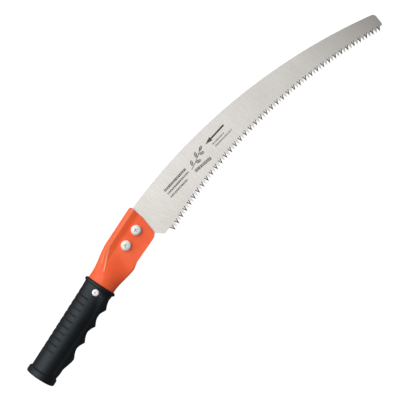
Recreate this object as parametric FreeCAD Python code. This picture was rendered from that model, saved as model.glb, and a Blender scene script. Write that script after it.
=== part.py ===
import FreeCAD, Part
import math
import os

# A fixed, curved pruning saw. A round steel tube is pressed flat and slit at its front end, where
# two screws clamp the blade between its walls. A moulded rubber grip is slid over the round end
# and kept there by one blind rivet.
#
# Frame, in millimetres: the origin is on the tube's axis at its open mouth. +X runs along the
# handle towards the blade, +Y is the blade's spine side and +Z is the side of the screw heads,
# so the saw lies flat.

V = FreeCAD.Vector

# ---------------------------------------------------------------- driving dimensions
# Handle tube
TUBE_OD = 28.6
TUBE_WALL = 1.2
REAM = 0.05                 # the round length is reamed true, this much larger in radius
ROUND_LENGTH = 88.0         # the tube stays round this far in, so a pole fits its mouth
OVAL_RUN = 40.0             # then it is squeezed oval over this length
OVAL_SHARE = 0.35           # how far the oval goes towards the flattened section
PRESS_GAP = 4.0             # short even stretch between the oval and the pressed shoulder
PRESS_RUN = 36.0            # length of the shoulder that leads down to the flattened clamp
PRESS_LEAD = 5.0            # the toothed side of the shoulder runs this much ahead

# Flattened clamp
CLAMP_LENGTH = 49.5         # along the fold, from the shoulder to the end
CLAMP_SPREAD = 0.26         # the flattened width is half the tube's girth and this much
CLAMP_DROP = 0.35           # the clamp's middle lies this far to the toothed side of the axis
FOLD_RADIUS = 3.9           # outside radius of the loop left along the spine fold
FOLD_RAMP = 10.0            # from the top of the loop down to the flat panel
SLIT_STEP = 1.9             # how much of the toothed-side fold is cut away to open the slit
SLIT_FLARE = 1.0            # the panels widen by this towards their front corner
CLAMP_CORNER = 8.5          # radius of that corner
END_LEAN = 17.5             # degrees that the clamp's front edge leans forward
END_BEND_Y = 3.4            # height at which the front edge bends upright
FOLD_LEAN = 6.8             # degrees of lean above the bend

# Blade
BLADE_THICKNESS = 1.3
PANEL_GAP = 0.02            # between the blade and each panel, for the paint
TOOTHED_LENGTH = 332.0      # along the tooth tips, first gullet to last
TOOTH_PITCH = 4.2
TOOTH_DEPTH = 4.8
TOOTH_LEAN = 0.22           # the tips lean towards the handle by this share of the pitch
TOOTH_RADIUS = 650.4        # circle of the tooth tips, hollow side
TOOTH_BOTTOM_Y = -36.4      # highest point of that circle
TOOTH_BOTTOM_X = 67.6       # ... ahead of the rear screw
FIRST_TOOTH = 47.0          # first tooth tip, ahead of the rear screw
SPINE_RADIUS = 687.3        # circle of the spine
SPINE_CLEARANCE = 1.4       # between the blade's spine and the inside of the fold
SPINE_TOP_X = 3.8           # ahead of the rear screw
TANG_COVER = 1.2            # the panels cover the tang's lower edge by this much
TANG_BACK = 8.0             # tang behind the rear screw
HEEL_X = 35.2               # heel corner, ahead of the rear screw
HEEL_DROP = 9.3             # from the tang's lower edge to the heel corner
HEEL_LEAN = 4.8             # the heel's back edge runs forward by this as it drops
HEEL_RADIUS = 3.0
NOSE_LEAN = 18.0            # degrees that the nose leans forward from upright
NOSE_GAP = 1.4              # nose corner past the last gullet, along the teeth, less half a pitch
NOSE_RADIUS = 3.5
NOSE_LOW_RADIUS = 1.6

# Screws, washers and nuts
SCREW_D = 6.0
SCREW_CLEARANCE = 0.4       # the screws' holes are larger than their shanks by this
SCREW_SPACING = 21.0
SCREW_Y = 0.7
REAR_SCREW = 10.0           # rear screw, ahead of the end of the shoulder
HEAD_D = 12.0
HEAD_HEIGHT = 4.6
RECESS_D = 6.8
RECESS_SLOT = 1.25
RECESS_DEPTH = 2.8
NUT_ACROSS = 10.0
NUT_HEIGHT = 5.0
WASHER_OD = 11.8
WASHER_HEIGHT = 1.6
WASHER_SPLIT = 0.9
SCREW_PROUD = 1.7           # thread left standing past the nut

# Rubber grip
LIP = 2.0                   # rubber beyond the tube's mouth
LIP_CLEARANCE = 0.3         # the lip's hole is larger than the tube's bore by this, in radius
GRIP_LENGTH = 126.5
RUBBER = 1.8
SLEEVE_GROWTH = 0.0125      # the spine side stands out by this much more per mm forward
BUTT_RING_PROUD = 1.9
BUTT_RING_LENGTH = 8.0
BUTT_ROUND = 1.2
COLLAR_PROUD = 2.1
COLLAR_LENGTH = 4.5
COLLAR_ROOT = 0.4           # its ends start this deep in the sleeve
FINGER_PITCH = 22.1
FINGER_SCOOPS = 3
FRONT_CREST = 21.3          # foremost finger crest, behind the grip's front face
CREST_PROUD = 4.9           # how far each crest and hollow stands out of the plain sleeve
SCOOP_PROUD = 0.7
FRONT_SCOOP = 9.5           # bottom of the front scoop, behind the front face
FRONT_SCOOP_PROUD = 1.3
REAR_RAMP = 18.9            # from the rearmost crest back to the rear hollow
REAR_HOLLOW_PROUD = 0.8
KEEL_DEPTH = 12.0           # from the crests to the middle of the keel's rounded section
KEEL_HALF_WIDTH = 12.5

# Blind rivet
RIVET_D = 4.0
RIVET_HEAD_D = 8.0
RIVET_HEAD_HEIGHT = 1.2
RIVET_BEHIND = 9.7          # rivet, behind the grip's front face
RIVET_BED = 0.7             # rubber left between its head and the tube, at the least
RIVET_TAIL_GAP = 0.05       # between its tail and the inside of the tube
RIVET_TAIL_D = 5.8
RIVET_TAIL_LENGTH = 2.6
MANDREL_D = 2.2
MANDREL_HEAD_D = 3.8
FIT = 0.05                  # clearance in radius of a riveted hole

# ---------------------------------------------------------------- worked-out places
TUBE_R = TUBE_OD / 2
BORE_R = TUBE_R - TUBE_WALL + REAM
CLAMP_WIDTH = math.pi * (TUBE_OD - TUBE_WALL) / 2 + CLAMP_SPREAD
CLAMP_TOOTH_SIDE = CLAMP_WIDTH / 2 + CLAMP_DROP   # from the axis to the closed fold
CLAMP_SPINE_SIDE = CLAMP_WIDTH / 2 - CLAMP_DROP   # from the axis to the outside of the spine fold
CLAMP_HALF = BLADE_THICKNESS / 2 + PANEL_GAP + TUBE_WALL  # half its thickness at the panels
PANEL_LOW_Y = -CLAMP_TOOTH_SIDE + SLIT_STEP       # lower edge of the panels where the slit starts
SPINE_TOP_Y = CLAMP_SPINE_SIDE - TUBE_WALL - SPINE_CLEARANCE
TANG_LOW_Y = PANEL_LOW_Y + TANG_COVER
SCREW_HOLE_R = (SCREW_D + SCREW_CLEARANCE) / 2
PRESS_X = ROUND_LENGTH + OVAL_RUN + PRESS_GAP     # where the shoulder starts
CLAMP_X = PRESS_X + PRESS_RUN                     # where the flattened clamp starts
REAR_SCREW_X = CLAMP_X + REAR_SCREW
SCREW_PLACES = {"rear": REAR_SCREW_X, "front": REAR_SCREW_X + SCREW_SPACING}
GRIP_FRONT = GRIP_LENGTH - LIP
RIVET_X = GRIP_FRONT - RIVET_BEHIND
SLEEVE_R = TUBE_R + RUBBER
CREST_Y = -SLEEVE_R - CREST_PROUD
SCOOP_Y = -SLEEVE_R - SCOOP_PROUD
FRONT_SCOOP_Y = -SLEEVE_R - FRONT_SCOOP_PROUD
REAR_HOLLOW_Y = -SLEEVE_R - REAR_HOLLOW_PROUD
KEEL_Y = CREST_Y + KEEL_DEPTH

SECTION_POINTS = 28         # points along each half of a tube section
SHOULDER_STATIONS = 13      # sections along the squeezed length


# ---------------------------------------------------------------- small helpers
def smooth(t):
    """0 to 1 with level ends."""
    t = min(max(t, 0.0), 1.0)
    return t * t * (3 - 2 * t)


def unit(v):
    return V(v.x, v.y, v.z).normalize()


def cylinder(radius, start, end):
    axis = end - start
    return Part.makeCylinder(radius, axis.Length, start, axis)


def upright(radius, x, y, z_low, z_high):
    """A cylinder along Z."""
    return Part.makeCylinder(radius, z_high - z_low, V(x, y, z_low))


def rims(solid):
    """The closed edges round the ends of a bar."""
    return [edge for edge in solid.Edges if len(edge.Vertexes) == 1]


def slab(outline, z_low, z_high):
    """A plate with the given closed wire as its outline."""
    face = Part.Face(outline)
    face.translate(V(0, 0, z_low))
    return face.extrude(V(0, 0, z_high - z_low))


def corner(before, point, after, radius):
    """The arc that rounds a corner between two straight edges, with its two end points."""
    back = unit(before - point)
    ahead = unit(after - point)
    half = back.getAngle(ahead) / 2
    reach = radius / math.tan(half)
    centre = point + unit(back + ahead) * (radius / math.sin(half))
    start = point + back * reach
    end = point + ahead * reach
    middle = centre + unit(point - centre) * radius
    return Part.Arc(start, middle, end).toShape(), start, end


def rounded_outline(corners):
    """A closed wire through (point, radius) corners; a radius of 0 leaves a corner sharp."""
    edges = []
    ends = []
    count = len(corners)
    for i, (point, radius) in enumerate(corners):
        if radius == 0:
            ends.append((None, point, point))
        else:
            before = corners[i - 1][0]
            after = corners[(i + 1) % count][0]
            ends.append(corner(before, point, after, radius))
    for i, (arc, start, end) in enumerate(ends):
        if arc is not None:
            edges.append(arc)
        following = ends[(i + 1) % count][1]
        edges.append(Part.makeLine(end, following))
    return Part.Wire(edges)


# ---------------------------------------------------------------- the tube's sections
def flat_half_outline():
    """Points and outward normals down one half of the flattened section, spine side first."""
    fold_y = CLAMP_SPINE_SIDE - FOLD_RADIUS
    ramp_y = fold_y - FOLD_RAMP
    low_y = -CLAMP_TOOTH_SIDE + CLAMP_HALF
    rise = FOLD_RADIUS - CLAMP_HALF
    steps = 60
    rows = []
    for i in range(steps):
        a = math.pi / 2 * i / steps
        rows.append((fold_y + FOLD_RADIUS * math.cos(a), FOLD_RADIUS * math.sin(a),
                     math.cos(a), math.sin(a)))
    for i in range(steps):
        t = 1 - i / steps
        slope = rise * 6 * t * (1 - t) / FOLD_RAMP
        size = math.hypot(slope, 1)
        rows.append((ramp_y + FOLD_RAMP * t, CLAMP_HALF + rise * smooth(t),
                     -slope / size, 1 / size))
    rows.append((ramp_y, CLAMP_HALF, 0.0, 1.0))
    for i in range(steps + 1):
        a = math.pi / 2 * (1 + i / steps)
        rows.append((low_y + CLAMP_HALF * math.cos(a), CLAMP_HALF * math.sin(a),
                     math.cos(a), math.sin(a)))
    return rows


FLAT_ROWS = flat_half_outline()
FLAT_RUN = [0.0]
for last, row in zip(FLAT_ROWS, FLAT_ROWS[1:]):
    FLAT_RUN.append(FLAT_RUN[-1] + math.hypot(row[0] - last[0], row[1] - last[1]))


def flat_point(u, inset):
    """The flattened section at the share u of its half length, moved inwards by inset."""
    goal = u * FLAT_RUN[-1]
    i = 0
    while i < len(FLAT_RUN) - 2 and FLAT_RUN[i + 1] < goal:
        i += 1
    t = (goal - FLAT_RUN[i]) / (FLAT_RUN[i + 1] - FLAT_RUN[i])
    y, z, ny, nz = [a + (b - a) * t for a, b in zip(FLAT_ROWS[i], FLAT_ROWS[i + 1])]
    return y - inset * ny, z - inset * nz


def flattening(x):
    """0 where the tube is round, 1 where it is fully pressed."""
    oval = smooth((x - ROUND_LENGTH) / OVAL_RUN)
    press = smooth((x - PRESS_X) / PRESS_RUN)
    return OVAL_SHARE * oval + (1 - OVAL_SHARE) * press


def section_point(x, u, inset):
    """A point of the tube's section at x; u goes from 0 at the spine side to 1 opposite."""
    share = flattening(x + PRESS_LEAD * u * smooth((x - ROUND_LENGTH) / OVAL_RUN))
    round_r = TUBE_R - inset
    flat_y, flat_z = flat_point(u, inset)
    y = (1 - share) * round_r * math.cos(math.pi * u) + share * flat_y
    z = (1 - share) * round_r * math.sin(math.pi * u) + share * flat_z
    return y, z


def half_height(x, inset=0.0):
    """Half the tube's thickness on its middle, at x."""
    return section_point(x, 0.5, inset)[1]


def stations(back, front, count):
    return [back + (front - back) * i / count for i in range(count + 1)]


def half_skin(point, places):
    """One smooth face on the +Z side through the sections that point(x, u) gives."""
    grid = []
    for x in places:
        row = []
        for i in range(SECTION_POINTS + 1):
            even = i / SECTION_POINTS
            y, z = point(x, (even + smooth(even)) / 2)
            row.append(V(x, y, z if 0 < i < SECTION_POINTS else 0.0))
        grid.append(row)
    surface = Part.BSplineSurface()
    surface.interpolate(grid)
    return surface.toShape()


def edge_at(face, x):
    """The edge of a face that lies across the handle at x."""
    flat = [e for e in face.Edges if abs(e.BoundBox.XMin - x) + abs(e.BoundBox.XMax - x) < 1e-3]
    return flat[0]


def both_halves(faces):
    return faces + [face.mirror(V(0, 0, 0), V(0, 0, 1)) for face in faces]


def ring_at(faces, x):
    """The closed wire that a skin leaves across the handle at x."""
    return Part.Wire([edge_at(faces[0], x), edge_at(faces[1], x)])


def closed(faces):
    """A solid from faces that meet all round."""
    shell = Part.makeShell(faces)
    shell.sewShape()
    solid = Part.makeSolid(shell)
    return solid if solid.Volume > 0 else solid.reversed()


def capped_skin(point, places):
    """A solid with the given sections and flat ends."""
    skin = both_halves([half_skin(point, places)])
    ends = [Part.Face(ring_at(skin, x)) for x in (places[0], places[-1])]
    return closed(skin + ends)


def filled_tube(inset, back, front):
    """The tube's surface, moved inwards by inset, filled and closed with flat ends."""
    def point(x, u):
        return section_point(x, u, inset)

    shoulder = half_skin(point, stations(ROUND_LENGTH, CLAMP_X, SHOULDER_STATIONS))
    round_part = edge_at(shoulder, ROUND_LENGTH).extrude(V(back - ROUND_LENGTH, 0, 0))
    flat_part = edge_at(shoulder, CLAMP_X).extrude(V(front - CLAMP_X, 0, 0))
    back_end = Part.Face(ring_at(both_halves([round_part]), back))
    front_end = Part.Face(ring_at(both_halves([flat_part]), front))
    return closed(both_halves([round_part, shoulder, flat_part]) + [back_end, front_end])


# ---------------------------------------------------------------- handle tube
def clamp_outline():
    """The side outline of the clamp's panels, from where the slit starts."""
    front_low = PANEL_LOW_Y - SLIT_FLARE
    fold_end = CLAMP_X + CLAMP_LENGTH
    top = CLAMP_SPINE_SIDE + 5
    bend_x = fold_end - (CLAMP_SPINE_SIDE - END_BEND_Y) * math.tan(math.radians(FOLD_LEAN))
    low_x = bend_x - (END_BEND_Y - front_low) * math.tan(math.radians(END_LEAN))
    return rounded_outline([
        (V(CLAMP_X, PANEL_LOW_Y, 0), 0),
        (V(low_x, front_low, 0), CLAMP_CORNER),
        (V(bend_x, END_BEND_Y, 0), 60),
        (V(fold_end, CLAMP_SPINE_SIDE, 0), 2.5),
        (V(fold_end - 3, top, 0), 0),
        (V(CLAMP_X, top, 0), 0),
    ])


def make_handle_tube():
    front = CLAMP_X + CLAMP_LENGTH + 8
    tube = filled_tube(0.0, 0.0, front).cut(filled_tube(TUBE_WALL, -1.0, front + 1))
    tube = tube.cut(cylinder(BORE_R, V(-1, 0, 0), V(ROUND_LENGTH, 0, 0)))
    waste = Part.makeBox(front + 1 - CLAMP_X, TUBE_OD * 4, TUBE_OD * 2,
                         V(CLAMP_X, -TUBE_OD * 2, -TUBE_OD))
    tube = tube.cut(waste.cut(slab(clamp_outline(), -TUBE_OD, TUBE_OD)))
    for x in SCREW_PLACES.values():
        tube = tube.cut(upright(SCREW_HOLE_R, x, SCREW_Y, -TUBE_OD, TUBE_OD))
    tube = tube.cut(upright(RIVET_D / 2 + FIT, RIVET_X, 0, 0, TUBE_OD))
    return tube


# ---------------------------------------------------------------- blade
def tooth_centre():
    return V(REAR_SCREW_X + TOOTH_BOTTOM_X, TOOTH_BOTTOM_Y - TOOTH_RADIUS, 0)


def tooth_point(run, depth):
    """A point by its run along the tooth tips from the first one, and its depth in the blade."""
    centre = tooth_centre()
    first = math.asin((FIRST_TOOTH - TOOTH_BOTTOM_X) / TOOTH_RADIUS)
    angle = first + run / TOOTH_RADIUS
    reach = TOOTH_RADIUS + depth
    return centre + V(reach * math.sin(angle), reach * math.cos(angle), 0)


def spine_y(x):
    rise = x - REAR_SCREW_X - SPINE_TOP_X
    return SPINE_TOP_Y - SPINE_RADIUS + math.sqrt(SPINE_RADIUS ** 2 - rise ** 2)


def spine_point_on(start, direction):
    """Where a line from a point under the spine meets the spine's circle."""
    centre = V(REAR_SCREW_X + SPINE_TOP_X, SPINE_TOP_Y - SPINE_RADIUS, 0)
    offset = start - centre
    b = offset.dot(direction)
    c = offset.dot(offset) - SPINE_RADIUS ** 2
    return start + direction * (-b + math.sqrt(b * b - c))


def tooth_row():
    """The zigzag of the teeth, from the first gullet to the last."""
    count = round(TOOTHED_LENGTH / TOOTH_PITCH)
    pitch = TOOTHED_LENGTH / count
    points = [tooth_point(-pitch / 2, TOOTH_DEPTH)]
    for i in range(count):
        points.append(tooth_point((i + 0.5 - TOOTH_LEAN) * pitch - pitch / 2, 0))
        points.append(tooth_point((i + 1) * pitch - pitch / 2, TOOTH_DEPTH))
    return points


def make_blade():
    back = REAR_SCREW_X - TANG_BACK
    heel = V(REAR_SCREW_X + HEEL_X, TANG_LOW_Y - HEEL_DROP, 0)
    neck = V(heel.x - HEEL_LEAN, TANG_LOW_Y, 0)
    teeth = tooth_row()
    nose_low = tooth_point(TOOTHED_LENGTH + NOSE_GAP, TOOTH_DEPTH)
    lean = math.radians(NOSE_LEAN)
    nose_way = V(math.sin(lean), math.cos(lean), 0)
    nose_top = spine_point_on(nose_low, nose_way)
    before_nose = V(nose_top.x - 20, spine_y(nose_top.x - 20), 0)

    neck_arc, neck_in, neck_out = corner(V(back, TANG_LOW_Y, 0), neck, heel, HEEL_RADIUS)
    heel_arc, heel_in, heel_out = corner(neck, heel, teeth[0], HEEL_RADIUS)
    low_arc, low_in, low_out = corner(teeth[-1], nose_low, nose_top, NOSE_LOW_RADIUS)
    top_arc, top_in, top_out = corner(nose_low, nose_top, before_nose, NOSE_RADIUS)

    tang_top = V(back, spine_y(back), 0)
    middle_x = (back + top_out.x) / 2
    spine = Part.Arc(top_out, V(middle_x, spine_y(middle_x), 0), tang_top).toShape()
    edges = [Part.makeLine(V(back, TANG_LOW_Y, 0), neck_in), neck_arc,
             Part.makeLine(neck_out, heel_in), heel_arc, Part.makeLine(heel_out, teeth[0])]
    edges += [Part.makeLine(a, b) for a, b in zip(teeth, teeth[1:])]
    edges += [Part.makeLine(teeth[-1], low_in), low_arc, Part.makeLine(low_out, top_in), top_arc,
              spine, Part.makeLine(tang_top, V(back, TANG_LOW_Y, 0))]
    half = BLADE_THICKNESS / 2
    blade = slab(Part.Wire(edges), -half, half)
    for x in SCREW_PLACES.values():
        blade = blade.cut(upright(SCREW_HOLE_R, x, SCREW_Y, -TUBE_OD, TUBE_OD))
    return blade


# ---------------------------------------------------------------- screws, washers and nuts
def make_screw(x):
    """A pan head screw with a cross recess, its head on the +Z panel."""
    seat = CLAMP_HALF
    tip = -(CLAMP_HALF + WASHER_HEIGHT + NUT_HEIGHT + SCREW_PROUD)
    head_r = HEAD_D / 2
    rim = HEAD_HEIGHT * 0.35
    points = [V(0, 0, seat), V(head_r, 0, seat), V(head_r, 0, seat + rim),
              V(head_r * 0.62, 0, seat + HEAD_HEIGHT * 0.93), V(0, 0, seat + HEAD_HEIGHT)]
    shoulder = V(head_r * 0.9, 0, seat + HEAD_HEIGHT * 0.7)
    crown = V(head_r * 0.32, 0, seat + HEAD_HEIGHT * 0.985)
    profile = Part.Wire([
        Part.makeLine(points[0], points[1]),
        Part.makeLine(points[1], points[2]),
        Part.Arc(points[2], shoulder, points[3]).toShape(),
        Part.Arc(points[3], crown, points[4]).toShape(),
        Part.makeLine(points[4], points[0]),
    ])
    head = Part.Face(profile).revolve(V(0, 0, 0), V(0, 0, 1), 360)
    chamfer = SCREW_D * 0.12
    shank = upright(SCREW_D / 2, 0, 0, tip + chamfer, seat)
    point = Part.makeCone(SCREW_D / 2 - chamfer, SCREW_D / 2, chamfer, V(0, 0, tip))
    screw = head.fuse([shank, point])
    top = seat + HEAD_HEIGHT
    cone = Part.makeCone(RECESS_D * 0.16, RECESS_D / 2 + 0.2, RECESS_DEPTH + 0.4,
                         V(0, 0, top - RECESS_DEPTH))
    wing = Part.makeBox(RECESS_D * 1.2, RECESS_SLOT, RECESS_DEPTH + 1,
                        V(-RECESS_D * 0.6, -RECESS_SLOT / 2, top - RECESS_DEPTH))
    turned = wing.copy()
    turned.rotate(V(0, 0, 0), V(0, 0, 1), 90)
    screw = screw.cut(wing.fuse(turned).common(cone))
    screw.translate(V(x, SCREW_Y, 0))
    return screw


def make_washer(x):
    """A split spring washer, pressed flat under its nut."""
    top = -CLAMP_HALF
    ring = upright(WASHER_OD / 2, 0, 0, top - WASHER_HEIGHT, top)
    ring = ring.cut(upright(SCREW_D / 2 + 0.1, 0, 0, top - WASHER_HEIGHT, top))
    gap = Part.makeBox(WASHER_OD, WASHER_SPLIT, WASHER_HEIGHT * 3,
                       V(0, -WASHER_SPLIT / 2, top - WASHER_HEIGHT * 2))
    gap.rotate(V(0, 0, top - WASHER_HEIGHT / 2), V(1, 0, 0), 35)
    ring = ring.cut(gap)
    ring.translate(V(x, SCREW_Y, 0))
    return ring


def make_nut(x):
    """A hex nut with its corners turned off."""
    top = -CLAMP_HALF - WASHER_HEIGHT
    across_corners = NUT_ACROSS / math.cos(math.pi / 6)
    ring = [V(across_corners / 2 * math.cos(math.pi / 3 * i),
              across_corners / 2 * math.sin(math.pi / 3 * i), 0) for i in range(7)]
    nut = slab(Part.makePolygon(ring), top - NUT_HEIGHT, top)
    blank_r = across_corners / 2 + NUT_HEIGHT * 0.75
    low_cone = Part.makeCone(NUT_ACROSS / 2 * 0.96, blank_r, NUT_HEIGHT, V(0, 0, top - NUT_HEIGHT))
    high_cone = Part.makeCone(blank_r, NUT_ACROSS / 2 * 0.96, NUT_HEIGHT, V(0, 0, top - NUT_HEIGHT))
    nut = nut.common(low_cone).common(high_cone)
    nut = nut.cut(upright(SCREW_D / 2, 0, 0, top - NUT_HEIGHT, top))
    nut.translate(V(x, SCREW_Y, 0))
    return nut


# ---------------------------------------------------------------- rubber grip
def sleeve_half_width(x):
    return SLEEVE_R + SLEEVE_GROWTH * max(x - BUTT_RING_LENGTH, 0)


def oval_point(half_y, half_z, u):
    return half_y * math.cos(math.pi * u), half_z * math.sin(math.pi * u)


def make_sleeve():
    """The plain sleeve round the tube, oval where the tube is."""
    def point(x, u):
        tube_half_y = section_point(x, 0.0, 0.0)[0]
        half_y = max(sleeve_half_width(x), tube_half_y + RUBBER * 0.75)
        return oval_point(half_y, half_height(x) + RUBBER, u)

    return capped_skin(point, stations(-LIP, GRIP_FRONT, 12))


def make_collar():
    """The rounded flange at the front of the grip."""
    back = GRIP_FRONT - COLLAR_LENGTH

    def point(x, u):
        across = 2 * (x - back) / COLLAR_LENGTH - 1
        proud = COLLAR_PROUD * (1 - across ** 4) - COLLAR_ROOT
        half_y = section_point(GRIP_FRONT, 0.0, 0.0)[0] + RUBBER * 0.75 + proud
        return oval_point(half_y, half_height(x) + RUBBER + proud, u)

    return capped_skin(point, stations(back, GRIP_FRONT, 12))


def make_keel():
    """The finger side: a rounded keel with one scoop for each finger."""
    crest_front = GRIP_FRONT - FRONT_CREST
    crests = [crest_front - FINGER_PITCH * i for i in range(FINGER_SCOOPS + 1)]
    rear_crest = crests[-1]
    hollow_x = max(rear_crest - REAR_RAMP, BUTT_RING_LENGTH)
    back_x = BUTT_RING_LENGTH - LIP - 2
    collar_back = GRIP_FRONT - COLLAR_LENGTH / 2
    scoop_x = GRIP_FRONT - FRONT_SCOOP
    path = [V(back_x, KEEL_Y, 0), V(back_x, REAR_HOLLOW_Y, 0), V(hollow_x, REAR_HOLLOW_Y, 0),
            V(rear_crest, CREST_Y, 0)]
    edges = [Part.makeLine(a, b) for a, b in zip(path, path[1:])]
    for rear, front in zip(reversed(crests[1:]), reversed(crests[:-1])):
        bottom = V((rear + front) / 2, SCOOP_Y, 0)
        edges.append(Part.Arc(V(rear, CREST_Y, 0), bottom, V(front, CREST_Y, 0)).toShape())
    half_scoop = V((crest_front + scoop_x) / 2, FRONT_SCOOP_Y + (CREST_Y - FRONT_SCOOP_Y) * 0.27, 0)
    end = V(scoop_x, FRONT_SCOOP_Y, 0)
    edges.append(Part.Arc(V(crest_front, CREST_Y, 0), half_scoop, end).toShape())
    path = [end, V(collar_back, FRONT_SCOOP_Y, 0), V(collar_back, KEEL_Y, 0), V(back_x, KEEL_Y, 0)]
    edges += [Part.makeLine(a, b) for a, b in zip(path, path[1:])]
    side = slab(Part.Wire(edges), -KEEL_HALF_WIDTH - 1, KEEL_HALF_WIDTH + 1)
    centre = V(back_x - 1, KEEL_Y, 0)
    across = (KEEL_HALF_WIDTH, V(0, 0, KEEL_HALF_WIDTH))
    down = (KEEL_DEPTH, V(0, KEEL_DEPTH, 0))
    minor, major = sorted([across, down], key=lambda axis: axis[0])
    oval = Part.Wire(Part.Ellipse(centre + major[1], centre + minor[1], centre).toShape())
    bar = Part.Face(oval).extrude(V(collar_back - back_x + 2, 0, 0))
    return side.common(bar)


def heights_near(x, radius, inset):
    """Heights of the tube's surface over a round patch on its middle."""
    places = [section_point(x + step * radius, 0.5 + turn, inset)
              for step in (-1, 0, 1) for turn in stations(-0.2, 0.2, 40)]
    return [z for y, z in places if abs(y) <= radius]


def rivet_seat():
    """Height of the rubber that the rivet's head sits on."""
    return max(heights_near(RIVET_X, RIVET_HEAD_D / 2, 0.0)) + RIVET_BED


def rivet_tail_top():
    """Height just inside the tube's wall, where the rivet's tail spreads."""
    return min(heights_near(RIVET_X, RIVET_TAIL_D / 2, TUBE_WALL)) - RIVET_TAIL_GAP


def make_grip():
    ring = cylinder(SLEEVE_R + BUTT_RING_PROUD, V(-LIP, 0, 0), V(-LIP + BUTT_RING_LENGTH, 0, 0))
    ring = ring.makeFillet(BUTT_ROUND, rims(ring))
    grip = make_sleeve().fuse([ring, make_collar(), make_keel()])
    grip = grip.cut(filled_tube(0.0, 0.0, CLAMP_X + CLAMP_LENGTH))
    mouth_r = BORE_R + LIP_CLEARANCE
    grip = grip.cut(cylinder(mouth_r, V(-LIP - 1, 0, 0), V(1, 0, 0)))
    grip = grip.cut(upright(RIVET_D / 2 + FIT, RIVET_X, 0, 0, TUBE_OD))
    pocket = upright(RIVET_HEAD_D / 2 + 0.2, RIVET_X, 0, rivet_seat(), TUBE_OD)
    return grip.cut(pocket)


# ---------------------------------------------------------------- blind rivet
def make_rivet():
    seat = rivet_seat()
    head_r = RIVET_HEAD_D / 2
    rim = V(head_r, 0, seat + RIVET_HEAD_HEIGHT * 0.3)
    crown = V(head_r * 0.62, 0, seat + RIVET_HEAD_HEIGHT * 0.86)
    top = V(MANDREL_D / 2, 0, seat + RIVET_HEAD_HEIGHT)
    profile = Part.Wire([
        Part.makeLine(V(0, 0, seat), V(head_r, 0, seat)),
        Part.makeLine(V(head_r, 0, seat), rim),
        Part.Arc(rim, crown, top).toShape(),
        Part.makeLine(top, V(0, 0, top.z)),
        Part.makeLine(V(0, 0, top.z), V(0, 0, seat)),
    ])
    head = Part.Face(profile).revolve(V(0, 0, 0), V(0, 0, 1), 360)
    tail_end = rivet_tail_top() - RIVET_TAIL_LENGTH
    shank = upright(RIVET_D / 2, 0, 0, tail_end, seat)
    tail = upright(RIVET_TAIL_D / 2, 0, 0, tail_end, rivet_tail_top())
    tail = tail.makeFillet(0.8, rims(tail))
    rivet = head.fuse([shank, tail])
    rivet = rivet.cut(upright(MANDREL_D / 2, 0, 0, tail_end - 1, top.z + 1))
    rivet.translate(V(RIVET_X, 0, 0))
    return rivet


def make_mandrel():
    """The broken-off stem, flush below the head's rim, with its ball under the tail."""
    seat = rivet_seat()
    tail_end = rivet_tail_top() - RIVET_TAIL_LENGTH
    stem = upright(MANDREL_D / 2, 0, 0, tail_end - 0.5, seat + RIVET_HEAD_HEIGHT * 0.55)
    ball = upright(MANDREL_HEAD_D / 2, 0, 0, tail_end - 1.6, tail_end)
    ball = ball.makeFillet(0.6, rims(ball))
    mandrel = stem.fuse(ball)
    mandrel.translate(V(RIVET_X, 0, 0))
    return mandrel


# ---------------------------------------------------------------- the whole saw
def build():
    parts = {
        "blade": make_blade(),
        "handle_tube": make_handle_tube(),
        "rubber_grip": make_grip(),
        "grip_rivet": make_rivet(),
        "rivet_mandrel": make_mandrel(),
    }
    for place, x in SCREW_PLACES.items():
        parts["blade_screw_" + place] = make_screw(x)
        parts["lock_washer_" + place] = make_washer(x)
        parts["hex_nut_" + place] = make_nut(x)
    return parts


os.makedirs("parts", exist_ok=True)
for node, shape in build().items():
    shape = shape.removeSplitter()
    if len(shape.Solids) != 1 or not shape.isValid():
        raise ValueError(f"{node}: {len(shape.Solids)} solids, valid {shape.isValid()}")
    solid = shape.Solids[0]
    solid.exportStep(os.path.join("parts", node + ".step"))
    box = solid.BoundBox
    print(f"{node:20s} {solid.Volume / 1000:8.3f} cm3  x {box.XMin:7.2f} {box.XMax:7.2f}"
          f"  y {box.YMin:7.2f} {box.YMax:7.2f}  z {box.ZMin:7.2f} {box.ZMax:7.2f}")
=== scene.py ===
# %% [markdown]
# # A curved pruning saw
#
# The real thing is a pull-stroke pruning saw: a curved toothed blade, screwed into the flattened
# end of an orange steel tube, with a moulded rubber grip over the tube's round end. This lesson
# dresses the engineer's model of it. Every mesh lies in the engineer's frame: the origin is at the
# tube's open mouth, +X runs towards the blade, +Y is the blade's spine side and +Z is the side of
# the screw heads.

# %% Load the engineer's model
import math

import bpy
import bmesh
import numpy as np
from mathutils import Matrix, Vector
from mathutils.geometry import tessellate_polygon


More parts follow.
